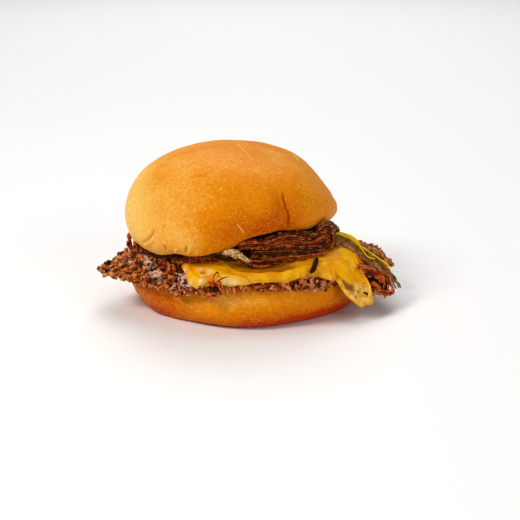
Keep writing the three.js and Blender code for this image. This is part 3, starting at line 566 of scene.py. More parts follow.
def lumps(places, sizes, flatness, seed, **values):
    """Small uneven lumps: one ball of a few dozen faces, roughened and turned by draws for each
    place, with a size and a flatness for each."""
    draw = np.random.default_rng(seed)
    rise = np.linspace(-1, 1, 5)[1:-1, None] * np.pi / 2
    ball = polar(np.cos(rise), TURN * np.arange(6) / 6, np.sin(rise))
    _, quads, triangles, _ = closed(ball)
    ball = np.concatenate([ball.reshape(-1, 3), [[0, 0, -1.0], [0, 0, 1.0]]])
    n, m = len(places), len(ball)
    body = ball * (1 + 0.45 * draw.uniform(-1, 1, (n, m, 1)))
    body[..., 2] *= flatness[:, None]
    q = unit(draw.normal(size=(n, 4)))
    w, x, y, z = q.T
    turn = np.stack([
        1 - 2 * (y * y + z * z), 2 * (x * y - w * z), 2 * (x * z + w * y),
        2 * (x * y + w * z), 1 - 2 * (x * x + z * z), 2 * (y * z - w * x),
        2 * (x * z - w * y), 2 * (y * z + w * x), 1 - 2 * (x * x + y * y),
    ], -1).reshape(n, 3, 3)
    points = places[:, None] + np.einsum("nij,nmj->nmi", turn, body * sizes[:, None, None])
    start = (m * np.arange(n))[:, None, None]
    kept = {k: np.repeat(np.broadcast_to(v, n), m) for k, v in values.items()}
    return (points.reshape(-1, 3), (quads + start).reshape(-1, 4), (triangles + start).reshape(-1, 3), kept)


def ribbon(path, width, thick, lean, twist, cup=0.3, wrinkle=0.35, hem=0.0, pleat=0.0, grain=0.0, rows=90,
           columns=14, seed=0, tip=0.06, shade=0.5, **values):
    """A flat strand carried along a curve. Its oval section is cupped across, leans and twists along
    the way, narrows at both tips and is wrinkled by noise. hem moves its thickness out to the rims,
    pleat adds waves across it, and grain raises rounded grains."""
    t = np.linspace(0, 1, rows)
    centre = curve(path, t)
    along = unit(np.gradient(centre, axis=0))
    side = unit(np.cross(along, UP))
    rise = np.cross(side, along)
    turn = np.radians(lean + twist * (t - 0.5)) + 0.5 * noise(centre, 7, seed)
    broad = (rise * np.cos(turn)[:, None] + side * np.sin(turn)[:, None])[:, None]
    thin = (side * np.cos(turn)[:, None] - rise * np.sin(turn)[:, None])[:, None]
    full = np.clip(np.minimum(t, 1 - t) / tip, 0.02, 1) ** 0.5 * (1 + 0.22 * noise(centre, 4, seed + 3))
    theta = TURN * np.arange(columns) / columns
    a = (width / 2 * full[:, None]) * np.cos(theta)
    cords = bell(np.abs(np.cos(theta)) - 0.8, 0.2) * np.sign(np.round(np.sin(theta), 6))
    b = (thick / 2 * np.sqrt(full)[:, None]) * ((1 - hem) * np.sin(theta) + hem * cords)
    flat = centre[:, None] + a[..., None] * broad
    shift = cup * a**2 / width
    shift = shift + wrinkle * (noise(flat, 1.7, seed + 5) + 0.5 * noise(flat, 0.8, seed + 6))
    shift = shift + pleat * np.sin(TURN * a / 2.7 + 3 * noise(flat, 6, seed + 8))
    if grain:
        shift = shift + grain * (grains(flat, 1.0, seed + 7) - 0.6) * np.sign(np.sin(theta) + 1e-6)
    grid = flat + (b + shift)[..., None] * thin
    rim = np.broadcast_to(bell(np.abs(np.cos(theta)) - 0.92, 0.2), a.shape)
    return closed(grid, rim=rim, tone=shade + 0.4 * noise(flat, 6, seed + 9), **values)


def bed(x, y):
    """Height of the lower half's cut face, and past its edge a fall that bends in and grows with the
    run, by a slope for each direction."""
    angle = np.arctan2(y, x)
    past = np.hypot(x, y) - (ring(HEEL_BELT, angle) - HEEL_LIP)
    run = np.maximum(past, np.clip(past + PATTY_BEND, 0, 2 * PATTY_BEND) ** 2 / (4 * PATTY_BEND))
    return HEEL_HEIGHT - run * ring(PATTY_FALL, angle)


def patty_top(x, y):
    """Height of the patty: its bed and a thickness that grows from the rim inwards."""
    inside = ring(PATTY_REACH, np.arctan2(y, x)) - np.hypot(x, y)
    return bed(x, y) + GAP + PATTY_RIM + (PATTY_CORE - PATTY_RIM) * smooth(inside, 0, PATTY_TAPER)


def cheese_bed(x, y):
    """The patty's top, and past the patty a steeper fall."""
    past = np.hypot(x, y) - ring(PATTY_REACH, np.arctan2(y, x))
    return patty_top(x, y) - CHEESE_HANG * np.maximum(past, 0)


def cheese_inset(x, y):
    """How far a point lies outside the slice's outline: negative under the slice."""
    dx, dy = x - CHEESE_CENTRE[0], y - CHEESE_CENTRE[1]
    return np.hypot(dx, dy) - ring(CHEESE_REACH, np.arctan2(dy, dx))


def cover_top(x, y):
    """Height of what lies uppermost: the slice, and past its edge the patty."""
    return cheese_bed(x, y) + smooth(-cheese_inset(x, y), -2, 0.5) * (GAP + CHEESE_THICKNESS)


def crown_lift(x, y):
    """How far the onions push the crown's edge up, in the crown's own frame: lobes that fade inwards."""
    return lobes(np.arctan2(y, x), CROWN_LIFTS) * smooth(np.hypot(x, y), 15, 45)


def crown_floor(x, y):
    """Height of the crown's cut face: a tilted plane and the lift."""
    dx = x - CROWN_PLACE[0]
    return CROWN_PLACE[2] + np.tan(-CROWN_TILT) * dx + crown_lift(dx, y)


def marked(grid, normals, lines):
    """Presses lines into a grid along its normals, each a bell-shaped groove that fades at its ends, and
    gives how dark the lines make it: painted shade along the grooves, and painted highlights where the
    darkness is below 0. Each line is first laid on the nearest points of the grid."""
    mark = np.zeros(grid.shape[:2])
    flat = grid.reshape(-1, 3)
    for path, half, depth, dark in lines:
        guide = curve(path, np.linspace(0, 1, 22))
        laid = np.array([flat[((flat - p) ** 2).sum(-1).argmin()] for p in guide])
        laid[1:-1] = (laid[:-2] + 2 * laid[1:-1] + laid[2:]) / 4
        away, share = line_distance(grid, laid)
        fade = smooth(share, -0.02, 0.2) * smooth(1 - share, -0.02, 0.15)
        groove = bell(away, half) * fade
        grid = grid - (depth * groove)[..., None] * normals
        mark = mark + dark * bell(away, half * 0.9) * fade
    return grid, mark


def heel_shape():
    """The lower half: a flat foot, a quarter oval out to the belt, a quarter oval up to the lip that
    meets the patty's bed, and the cut face on that bed. Then it is dented, wrinkled and lined along
    its normals."""
    angle = front_dense(430)
    belt = ring(HEEL_BELT, angle)
    foot, lip = belt - HEEL_FOOT, belt - HEEL_LIP
    t = np.linspace(0, np.pi / 2, 46)[:, None]
    edge = polar(lip, angle, 0.0)
    rise = bed(edge[..., 0], edge[..., 1]) - HEEL_WIDEST
    inner = lip * np.linspace(1, 0.02, 12)[1:, None]
    face = polar(inner, angle, 0.0)
    grid = np.concatenate([
        polar(foot * np.linspace(0.03, 0.97, 8)[:, None], angle, 0.0),
        polar(foot + HEEL_FOOT * np.sin(t), angle, HEEL_WIDEST * (1 - np.cos(t))),
        polar(lip + HEEL_LIP * np.cos(t[1:]), angle, HEEL_WIDEST + rise * np.sin(t[1:])),
        np.concatenate([face[..., :2], bed(face[..., 0], face[..., 1])[..., None]], -1),
    ])
    normals = outward(grid)
    z = grid[..., 2]
    side = smooth(z, 0.2, 4)
    dents = 0.7 * noise(grid, 17, 5) + 0.25 * noise(grid, 6, 6)
    wrinkles = 0.16 * noise(grid * [1, 1, 0.35], 2.2, 8) * smooth(z, 9, 17)
    for at, width, height, spread, push in HEEL_DENTS:
        dents = dents + push * lobe(angle, at, width) * bell(z - height, spread)
    grid = grid + (side * (dents + wrinkles))[..., None] * normals
    grid, mark = marked(grid, normals, HEEL_LINES)
    cut = np.zeros(z.shape)
    cut[-len(face):] = 1
    x, y = grid[..., 0], grid[..., 1]
    # Painted light and shade in how baked the crust looks: darker and redder towards the foot, most at the
    # front right, as painted shade with painted reflected red light; darker at the left as the painted shadow
    # of the patty's flap; paler at the painted highlights.
    low = smooth(7.5 - z, 0, 6) * (0.4 + 0.6 * smooth(x, -30, 12))
    red = smooth(11 - z, 0, 7) * smooth(x, -6, 34) * smooth(-y, 0, 20)
    left = bell(x + 46, 16) * smooth(-y, 0, 30)
    shade = 0.7 + 0.3 * low + 0.3 * red + 0.14 * left + 0.08 * noise(grid, 12, 9)
    for at, wide, height, tall, paler in HEEL_HIGHLIGHTS:
        shade = shade - paler * bell(x - at, wide) * bell(z - height, tall)
    return closed(grid, bake=shade, mark=mark, cut=cut, torn=0.0)


def crown_shape():
    """The upper half, in its own frame: a cut face, a quarter oval from its lip out to the belt and
    one over the dome. A broad crease draws it in, and two soft planes press its right side. Then it is
    tilted into place and dented, wrinkled and lined along its normals."""
    angle = front_dense(452)
    belt = ring(CROWN_BELT, angle)
    lip = belt * CROWN_LIP
    low = np.linspace(0, np.pi / 2, 44)[:, None]
    high = np.linspace(0, np.pi / 2 * 0.993, 150)[1:, None]
    dome = CROWN_HEIGHT - CROWN_WIDEST
    grid = np.concatenate([
        polar(lip * np.linspace(0.03, 0.97, 14)[:, None], angle, 0.0),
        polar(lip + (belt - lip) * np.sin(low), angle, CROWN_WIDEST * (1 - np.cos(low))),
        polar(belt * np.cos(high) ** CROWN_DOME, angle, CROWN_WIDEST + dome * np.sin(high)),
    ])
    x, y, z = np.moveaxis(grid, -1, 0)
    z = z + crown_lift(x, y) * (1 - smooth(z, 0, 22))
    turned = angle - np.radians(CROWN_CREASE)
    away = np.hypot(x, y) * np.sin(turned)
    fade = smooth(z, 0, 3) * (1 - smooth(z / CROWN_HEIGHT, 0.3, 0.78)) * (np.cos(turned) > 0)
    radius = np.hypot(x, y) - 2.2 * fade * bell(away, 3.5)
    grid = polar(radius, np.broadcast_to(angle, z.shape), z)
    for lean, place, soft in CROWN_PRESSES:
        normal = np.array([np.cos(np.radians(lean)), 0.0, np.sin(np.radians(lean))])
        past = (grid @ normal - place) / soft
        grid = grid - (soft * np.log1p(np.exp(past)))[..., None] * normal
    own = grid[..., 2]
    c, s = np.cos(CROWN_TILT), np.sin(CROWN_TILT)
    grid = grid @ np.array([[c, 0, -s], [0, 1, 0], [s, 0, c]]) + CROWN_PLACE
    normals = outward(grid)
    skin = smooth(own, 0.3, 3)
    x, y, z = np.moveaxis(grid, -1, 0)
    front = smooth(-y, 20, 42)
    tucked = front * smooth(63 - z, 0, 22) * bell(x - 4, 19)
    dents = 0.45 * noise(grid, 19, 11) + 0.16 * noise(grid, 7, 12) - 2.0 * tucked
    wrinkles = 0.22 * noise(grid * [1, 1, 0.3], 2.6, 14) * smooth(own, 0.5, 3) * (1 - smooth(own, 6, 12))
    torn = smooth(-x, 53, 60) * bell(y + 14, 16) * smooth(34 - own, 0, 16) * smooth(own, -1, 1)
    torn = torn * (0.6 + 0.5 * noise(grid * [1, 1, 0.5], 6, 18))
    rough = 0.5 * torn * (grains(grid, 1.2, 15) - 0.6) + 0.3 * torn * noise(grid, 0.9, 17)
    grid = grid + (skin * (dents + wrinkles) + rough)[..., None] * normals
    grid, mark = marked(grid, normals, CROWN_LINES)
    cut = 1 - smooth(own, -0.2, 0.6)
    x, y, z = np.moveaxis(grid, -1, 0)
    # Painted light and shade in how baked the crust looks: paler towards the left end, where it baked less
    # and painted light falls, and darker low on the front and left of the crease, painted shade where the
    # surface turns down.
    pale = bell(x + 64, 21) + 0.4 * front * bell(x + 38, 20) * bell(z - 46, 10)
    deep = bell(z - 47, 12) * smooth(x, -32, -6) * smooth(44 - x, 0, 26)
    deep = front * (deep + 0.25 * bell(x - 18, 7) * bell(z - 56, 12))
    shade = 0.48 - 0.42 * pale + 0.37 * deep + 0.06 * noise(grid, 14, 16)
    return closed(grid, bake=shade, mark=mark, cut=cut, torn=torn)


def curl_up(x, y):
    """How far the crisp edge curls up at the far right and at the left tip."""
    angle, radius = np.arctan2(y, x), np.hypot(x, y)
    turn = np.degrees(angle)
    right = 2.3 * smooth(radius, 54, 68) * smooth(turn, -7, 2) * smooth(26 - turn, 0, 14)
    return right + 1.4 * smooth(radius, 62, 74) * lobe(angle, 195, 12)


def patty_grid(relief):
    """The patty: its top out to a wandering lacy rim, a half round there and its underside. Where the
    slice doesn't cover it, bent grains of three sizes and noise raise it along its normals. Gives the
    grid, its normals, how bare it is and how far its grains stand up."""
    angle = front_dense(880, 250)
    rim_line = polar(60.0, angle, 0.0)
    lace = 1.3 * noise(rim_line, 4.2, 21) + 0.9 * noise(rim_line, 1.8, 22) + 0.5 * noise(rim_line, 0.9, 26)
    edge = ring(PATTY_REACH, angle) - LACE_INSET + lobes(angle, PATTY_LOBES) + lace
    out = np.linspace(0, 1, 58)[1:, None]
    top = polar(np.array([[4.0], [20.0], [36.0]]) + 0 * edge, angle, 0.0)
    top = np.concatenate([top, polar(PATTY_DENSE + (edge - PATTY_DENSE) * out, angle, 0.0)])
    top[..., 2] = patty_top(top[..., 0], top[..., 1]) + curl_up(top[..., 0], top[..., 1])
    under = polar(edge + (PATTY_TUCK - edge) * np.linspace(0, 1, 24)[:, None], angle, 0.0)
    under = np.concatenate([under, polar(np.array([[30.0], [4.0]]) + 0 * edge, angle, 0.0)])
    under[..., 2] = bed(under[..., 0], under[..., 1]) + GAP + curl_up(under[..., 0], under[..., 1])
    turn = np.linspace(np.pi / 2, -np.pi / 2, 9)[1:-1, None]
    middle = (top[-1, :, 2] + under[0, :, 2]) / 2
    half = (top[-1, :, 2] - under[0, :, 2]) / 2
    rim = polar(edge + 0.6 * np.cos(turn), angle, middle + half * np.sin(turn))
    grid = np.concatenate([top, rim, under])
    normals = outward(grid)
    x, y = grid[..., 0], grid[..., 1]
    bare = smooth(cheese_inset(x, y), -1.6, 0.8) * smooth(np.hypot(x, y), 34, 40)
    under_row = len(top) + len(rim)
    bare[under_row:] *= 0.7 * smooth(np.hypot(x, y)[under_row:] - ring(HEEL_BELT, angle), -3, 3)
    bent = grid + 1.3 * np.stack([noise(grid, 2.4, 30 + k) for k in range(3)], -1)
    coarse, middling, fine = grains(bent, 4.4, 23), grains(bent, 2.1, 27), grains(bent, 1.0, 24)
    broad = noise(grid, 6.5, 25)
    height = 3.0 * (coarse - 0.8) + 2.0 * (middling - 0.82) + 0.8 * (fine - 0.84) + 0.6 * broad
    grid = grid + (relief * bare * height)[..., None] * normals
    raised = np.clip(1.5 * coarse + 1.7 * middling + 1.0 * fine - 2.7 + 0.25 * broad, 0, 1)
    return grid, normals, bare, raised


def painted_glint_share(x, y):
    """Where glints are painted on the crust: the sum of a bell round each glint, at most 1."""
    return np.clip(sum(bell(np.hypot(x - a, y - b), r) for a, b, r in CRUST_GLINTS), 0, 1)


def pink_share(x, y):
    """Where the meat shows its pinker cut edge: along the front, most towards the right."""
    return smooth(-y, 38, 50) * (0.15 * smooth(x, -26, -8) + 0.7 * smooth(x, 16, 30)) * smooth(46 - x, 0, 6)


def amber_share(x, y):
    """Where the crust fried to an orange brown: at the far right, and in spots at the far left."""
    return smooth(x, 50, 58) * smooth(y, -24, -14) + 0.2 * smooth(-x, 50, 66)


def crust_values(x, y):
    """The shares of each finish of the crust, and of its painted glints."""
    return {"pink": pink_share(x, y), "amber": amber_share(x, y), "pale": painted_glint_share(x, y)}


def patty_shape(relief):
    """The patty's grid as a shape, with the values of its crust."""
    grid, _, _, raised = patty_grid(relief)
    return closed(grid, relief=raised, **crust_values(grid[..., 0], grid[..., 1]))


def crumbs_shape(relief, count):
    """Crisp crumbs on the patty's bare crust and rim: places drawn from its own grid, in drifts and
    thicker at the rim, with a few hanging clumps and torn flakes at the edge."""
    draw = np.random.default_rng(41)
    grid, normals, bare, _ = patty_grid(relief)
    flat, out = grid.reshape(-1, 3), normals.reshape(-1, 3)
    rows = np.arange(grid.shape[0])[:, None]
    rim = bell(rows - RIM_ROW, 5.0)
    radius = np.hypot(grid[..., 0], grid[..., 1])
    weight = bare * smooth(radius, 44, 52) * (0.3 + 1.5 * rim) * smooth(noise(grid, 5, 42), -0.5, 0.6)
    spacing = np.linalg.norm(np.roll(grid, -1, 1) - grid, axis=-1)
    weight = np.clip(weight, 0, None).ravel() * spacing.ravel()
    pick = draw.choice(len(flat), count, p=weight / weight.sum())
    size = np.clip(0.46 * np.exp(0.6 * draw.normal(size=count)), 0.2, 1.6)
    places = flat[pick] + out[pick] * (size * draw.uniform(-0.5, 0.3, count))[:, None]
    for x, y, z, spread, number in MEAT_CLUMPS:
        here = draw.normal(size=(number, 3)) * spread * [1, 0.5, 0.6] + [x, y, z]
        places = np.concatenate([places, here])
        size = np.concatenate([size, draw.uniform(0.3, 0.9, number)])
    n = len(places)
    shapes = [lumps(places, size, draw.uniform(0.35, 1, n), 43, relief=draw.random(n) ** 0.8,
                    **crust_values(places[:, 0], places[:, 1]))]
    for i, (path, wide, pale) in enumerate(MEAT_FLAKES):
        flake = ribbon(path, wide, 0.9, 60, 60, cup=0.6, wrinkle=0.5, rows=50, seed=430 + i, tip=0.3)
        points, quads, triangles, kept = flake
        kept = {"relief": kept["tone"] + pale - 0.3, **crust_values(points[:, 0], points[:, 1])}
        shapes.append((points, quads, triangles, kept))
    return joined(shapes)


def traced(plan, lines):
    """Bent lines drawn on a plan: the sum of a bell across each, times its strength, faded at its ends."""
    total = np.zeros(plan.shape[:2])
    for path, half, strength in lines:
        away, at = line_distance(plan[..., :2], path)
        total = total + strength * bell(away, half) * smooth(at, -0.05, 0.2) * smooth(1 - at, -0.05, 0.2)
    return total


def spot_distance(x, y, base, spot_x, spot_y):
    """Distance of points on the slice's bed to one place on it."""
    return np.sqrt((x - spot_x) ** 2 + (y - spot_y) ** 2 + (base - cheese_bed(spot_x, spot_y)) ** 2)


def cheese_shape(thickness):
    """The melted slice: an underside sunk in the patty, a round rim and a top that follows the patty with
    soft folds along lines, noise for the sag, a dropped corner that blistered, and small pits and fried
    places. Its values also paint shade where it is tucked, a shadow under the fold above the corner, and
    glints at some fried places. Rows crowd towards the rim."""
    angle = front_dense(520, 290)
    rim_line = polar(50.0, angle, 0.0)
    reach = ring(CHEESE_REACH, angle) - 0.4 + 0.6 * noise(rim_line, 5, 51) + 0.35 * noise(rim_line, 2.1, 52)
    reach = reach + lobes(angle, CHEESE_LOBES)
    share = np.concatenate([np.linspace(0.04, 0.6, 6)[:-1], 1 - 0.4 * np.linspace(1, 0, 96) ** 1.5])[:, None]
    plan = polar(reach * share, angle, 0.0, CHEESE_CENTRE)
    inside = reach * (1 - share)
    x, y = plan[..., 0], plan[..., 1]
    round_edge = np.sqrt(np.clip(1 - (1 - np.clip(inside / 1.5, 0, 1)) ** 2, 0, 1))
    base = cheese_bed(x, y)
    fold, deep = traced(plan, CHEESE_FOLDS), traced(plan, CHEESE_SHADES)
    line = np.interp(x, *np.transpose(CHEESE_SKIRT))
    skirt = smooth(line - y, 0, 0.9) * smooth(x, 41.5, 43.5) * (1 - 0.8 * smooth(x + 0.3 * y, 46.2, 47.4))
    blister = np.maximum(skirt, smooth(2.7 - line_distance(plan[..., :2], CHEESE_PATCH)[0], 0, 1.2))
    fold = fold - 2.6 * skirt + 0.8 * blister * (grains(plan, 1.5, 59) - 0.7)
    sag = 0.6 * noise(plan, 9, 53) + 0.4 * noise(plan, 3.8, 54) + 0.09 * noise(plan, 1.4, 55)
    # A painted shadow along the fold above the dropped corner, drawn with the blisters' brown.
    away, at = line_distance(plan[..., :2], CHEESE_SEAM_SHADOW)
    seam_shadow = 1.2 * bell(away, 0.5) * smooth(1 - at, 0, 0.25)
    fold, pit, cream_and_glint = fold - 0.9 * seam_shadow, seam_shadow, np.zeros(base.shape)
    for spot_x, spot_y, radius, depth in CHEESE_PITS:
        away = spot_distance(x, y, base, spot_x, spot_y)
        fold = fold - depth * bell(away, radius) + 0.5 * depth * bell(away - 1.6 * radius, 0.5 * radius)
        pit = pit + bell(away, radius * 0.7)
    for spot_x, spot_y, radius, strength in CHEESE_CREAM_AND_GLINTS:
        away = spot_distance(x, y, base, spot_x, spot_y)
        cream_and_glint = cream_and_glint + 1.3 * strength * bell(away, 1.3 * radius)
        fold = fold + 0.3 * strength * bell(away, radius)
    lip = 0.5 * bell(inside - 1.8, 1.3) * (0.6 + 0.4 * noise(plan, 6, 56))
    lip = lip + (1.3 * bell(inside - 1.0, 0.9) - 0.9 * bell(inside - 3, 0.8)) * lobe(angle, 325, 8)
    top = plan.copy()
    top[..., 2] = base + 0.3 + (thickness - 0.2) * round_edge + (fold + sag + lip) * smooth(inside, 0, 2.2)
    under = plan[::-1][::4].copy()
    x, y = under[..., 0], under[..., 1]
    under[..., 2] = cheese_bed(x, y) - 0.5
    turn = np.linspace(0, 1, 7)[1:-1, None]
    top_edge, low_edge = top[-1], under[0]
    rim = top_edge + (low_edge - top_edge) * turn[..., None] + polar(0.35 * np.sin(np.pi * turn), angle, 0.0)
    grid = np.concatenate([top, rim, under])
    fill = [(0, len(rim) + len(under)), (0, 0)]
    blister, deep, cream_and_glint, pit = (np.pad(np.clip(v, 0, 1), fill) for v in (blister, deep, cream_and_glint, pit))
    return closed(grid, fried=cream_and_glint, blister=blister, pit=pit, deep=deep)


def core_shape():
    """The heap's core between the slice and the crown: a flat lens on its ring, drawn in behind the
    ribbons and roughened by noise."""
    angle = TURN * np.arange(240) / 240
    v = np.linspace(0.02, 0.98, 40)[:, None]
    reach = ring(ONION_CORE, angle) - 4.5 * lobe(angle, 305, 32)
    plan = polar(reach * np.sin(np.pi * v), angle, 0.0, ONION_CENTRE)
    x, y = plan[..., 0], plan[..., 1]
    low, high = cover_top(x, y) + 0.6, crown_floor(x, y) - 0.4
    plan[..., 2] = low + (high - low) * smooth(v, 0.3, 0.7)
    plan = plan + (0.8 * noise(plan, 4, 61) + 0.5 * noise(plan, 1.8, 62))[..., None] * outward(plan)
    # A low tone, so that the core paints shade in the gaps between the strands.
    return closed(plan, rim=0.0, tone=0.2 + 0.6 * noise(plan, 3, 63))


def heap_paths(count):
    """Loose strands under the crown round the back and both sides: arcs about its middle at drawn
    radii and heights, each with a slow wander."""
    draw = np.random.default_rng(71)
    t = np.linspace(0, 1, 12)
    paths = []
    for i in range(count):
        middle = np.radians(-20 + 238 * (i + 0.5) / count + draw.uniform(-8, 8))
        angle = middle + np.radians(draw.uniform(14, 34)) * (2 * t - 1)
        radius = draw.uniform(37, 43) + draw.uniform(3, 8.5) * np.sin(np.pi * t)
        radius = radius + 1.2 * np.sin(7 * t + 6 * draw.random())
        p = polar(radius, angle, 0.0, CROWN_PLACE[:2])
        low, high = cover_top(p[:, 0], p[:, 1]) + 1.2, crown_floor(p[:, 0], p[:, 1]) - 1.0
        level = draw.uniform(0.05, 0.95) + 0.15 * np.sin(5 * t + 6 * draw.random())
        p[:, 2] = low + np.clip(level, 0, 1) * np.maximum(high - low, 0)
        paths.append((p, draw.uniform(1.6, 2.8), draw.uniform(-60, 60)))
    return paths


def strands_shape(width, thick, count):
    """The hank of hemmed ribbons at the front right, each torn lengthwise in three or five and with a thinner
    dark one behind it that paints shade into the gaps, the single strands beside it, and the loose strands
    round the rest."""
    shapes = []
    for i, (path, wide, deep, lean, tone) in enumerate(RIBBONS):
        path = np.asarray(path, float)
        side = 2 if wide > WIDE_RIBBON else 1
        for k in range(-side, side + 1):
            torn = path + [0, 0.8 * abs(k), 0.36 * k * wide]
            shapes.append(ribbon(torn, 0.5 * wide * width, 1.1 * deep * thick, lean + 40 * k, 80,
                                 wrinkle=0.42, hem=0.35, columns=12, seed=100 + 7 * i + 2 * k,
                                 shade=tone - 0.25 + 0.6 * (k % 2)))
        # A thinner, darker ribbon behind each, which paints shade into the gaps between the strands.
        behind = path[1:] * [0.97, 0.96, 1] + [0, 0, 1.0 if i % 2 else -1.0]
        shapes.append(ribbon(behind, 0.7 * wide * width, deep * thick, lean + 40, 90, hem=0.6, rows=60,
                             columns=12, seed=300 + 7 * i, shade=0.4))
    shapes += [
        ribbon(DANGLING, 2.7, 1.0, 75, 20, hem=0.6, rows=70, columns=18, seed=501, tip=0.3, shade=0.1),
        ribbon(UNDER_CROWN, 2.8, 1.2, 0, 20, cup=0.4, wrinkle=0.4, hem=0.3, seed=505, shade=0.8),
        ribbon(GOLDEN, 1.1, 0.8, 0, 20, wrinkle=0.15, rows=60, columns=12, seed=507, tip=0.3, shade=1.5),
        ribbon(FLAKE, 2.8, 0.9, -25, 30, cup=0.8, wrinkle=0.15, hem=0.6, columns=22, seed=503, tip=0.4,
               shade=0.15),
    ]
    for i, (path, wide, lean) in enumerate(heap_paths(count)):
        shapes.append(ribbon(path, wide, 0.9 * thick, lean, 70, hem=0.6, rows=48, columns=12,
                             seed=600 + 11 * i, shade=0.1 + 0.35 * (i % 3)))
    return joined(shapes)


def pale_end_shape():
    """The pale fried end at the left of the hank: a wide ribbon with raised grains."""
    return ribbon(PALE_END, 4.4, 0.8, -24, 10, cup=0.1, wrinkle=0.2, grain=0.9, rows=130, columns=48,
                  seed=801, tip=0.6)


def petal_shape():
    """The wide dark petal: a blade along its path, leaning towards the front, with a domed face,
    lengthwise veins and a thin lip that curls up along its far edge."""
    rows, columns = 190, 48
    t = np.linspace(0, 0.98, rows)
    centre = curve(PETAL_PATH, t)
    along = unit(np.gradient(centre, axis=0))
    front = unit(np.stack([along[:, 1], -along[:, 0], 0 * t], -1))
    across = front * np.cos(PETAL_TILT) - UP * np.sin(PETAL_TILT)
    face = np.cross(across, along)
    theta = TURN * np.arange(columns) / columns
    ends = np.clip(np.minimum(t + 0.02, 1 - t) / 0.07, 0, 1) ** 0.5
    half = np.interp(t, np.linspace(0, 1, len(PETAL_HALF)), PETAL_HALF)
    half = half * ends * (1 + 0.08 * noise(centre, 4, 81))
    a = half[:, None] * np.cos(theta)
    upper = -np.sin(theta)
    b = (half / 3.9)[:, None] * np.where(upper > 0, 0.7, 2.0) * upper
    flat = centre[:, None] + a[:, :, None] * across[:, None]
    vein = 0.3 * np.cos(TURN * a / 2.1 + 1.2 * noise(flat, 8, 82))
    vein = vein + 0.45 * noise(flat, 3.2, 83) + 0.2 * noise(flat, 1.3, 84)
    far = smooth(-np.cos(theta), 0.72, 0.98)
    lift = 0.6 * far * (upper > 0) + np.where(upper > 0, vein * (1 - far), 0)
    grid = flat + (b + lift)[..., None] * face[:, None]
    edge = smooth(-np.cos(theta), 0.86, 0.97) * smooth(0.95 - t, 0.0, 0.1)[:, None] * (upper > -0.4)
    tip = np.broadcast_to(smooth(t, 0.82, 0.98)[:, None], a.shape)
    near = np.broadcast_to(smooth(np.cos(theta), 0.1, 0.8), a.shape) * smooth(0.7 - t, 0, 0.3)[:, None]
    glint = np.zeros(a.shape)
    for at, side in PETAL_GLINTS:
        glint = glint + bell(40 * (t - at), 1.5)[:, None] * bell(np.cos(theta) - side, 0.3)
    return closed(grid, edge=edge, green=tip, near=near, glint=np.clip(glint, 0, 1) * (upper > 0))


def petal_ends():
    """The feathery green end of the petal: a few short wrinkled ribbons."""
    shapes = []
    for i, path in enumerate(PETAL_TIPS):
        shapes.append(ribbon(path, 2.6 - 0.5 * i, 0.8, 50, 40, cup=0.5, wrinkle=0.4, hem=0.4, rows=80,
                             columns=18, seed=820 + 9 * i, tip=0.4, edge=0.0, green=1.0, near=0.0, glint=0.2))
    return joined(shapes)


def films_shape():
    """The thin yellow films that stand along the petal's far edge: narrow upright ribbons."""
    shapes = []
    for i, (path, wide) in enumerate(FILMS):
        shapes.append(ribbon(path, wide, 0.5, 15, 10, cup=0.1, wrinkle=0.16, rows=120, columns=12,
                             seed=85 + i, tip=0.12, shade=1.1))
    return joined(shapes)


def fringe_shape(width):
    """The crisp shreds under the petal: cupped, pleated and hemmed ribbons over the patty's right
    edge, some with a narrow one beside them."""
    shapes = []
    for i, (path, wide, lean, tone) in enumerate(SHREDS):
        path = np.asarray(path, float)
        pleat = 0.35 * smooth(wide, 2, 5)
        shapes.append(ribbon(path, wide * width, 0.8, lean, 20, cup=0.6, wrinkle=0.4, hem=0.7, pleat=pleat,
                             rows=120, columns=36, seed=900 + 13 * i, tip=0.12, shade=tone))
        if i % 3 == 1:
            beside = path[1:] + [0.5, -0.7, -0.5]
            shapes.append(ribbon(beside, 0.9, 0.6, 20, 120, wrinkle=0.4, rows=70, seed=990 + 13 * i, tip=0.25,
                                 shade=0.9))
    return joined(shapes)


def threads_shape():
    """The curled threads at the front edge, with a small web between the hanging ones: thin ribbons
    that twist along the way."""
    shapes = []
    for i, (path, wide, tone) in enumerate(THREADS):
        shapes.append(ribbon(path, wide, 0.5, 20 * i, 120, cup=0.2, wrinkle=0.16, rows=70, seed=700 + 9 * i,
                             tip=0.25, shade=tone))
    shapes.append(ribbon(THREAD_WEB, 2.0, 0.3, 65, 40, wrinkle=0.3, rows=70, columns=16, seed=760, tip=0.4,
                         shade=1.3))
    return joined(shapes)


def knot_shape():
    """The small dark knot that the threads grow from: lumps spread evenly round two places."""
    draw = np.random.default_rng(77)
    places = [draw.uniform(-1, 1, (n, 3)) * spread + place for n, spread, place, _ in THREAD_KNOT]
    tone = np.concatenate([draw.uniform(*tones, n) for n, _, _, tones in THREAD_KNOT])
    n = len(tone)
    return lumps(np.concatenate(places), draw.uniform(0.35, 0.8, n), draw.uniform(0.4, 1, n), 78, rim=0.0,
                 tone=tone)


def rings_shape():
    """The small ring that stands at the left end, with a smaller one against the crown: ribbons round
    upright ovals that don't quite close."""
    shapes = []
    for x, y, foot, high, wide, seed in FRIED_RINGS:
        a = np.linspace(-0.5 * np.pi, 1.45 * np.pi, 22)
        z = foot + high / 2 * (1 + np.sin(a))
        path = np.stack([x + wide / 2 * np.cos(a), y + 0.5 * np.sin(2 * a), z], -1)
        shapes.append(ribbon(path, 3.2, 1.8, 5, 30, cup=0.2, wrinkle=0.4, columns=16, seed=seed, tip=0.03,
                             shade=0.7))
    return joined(shapes)


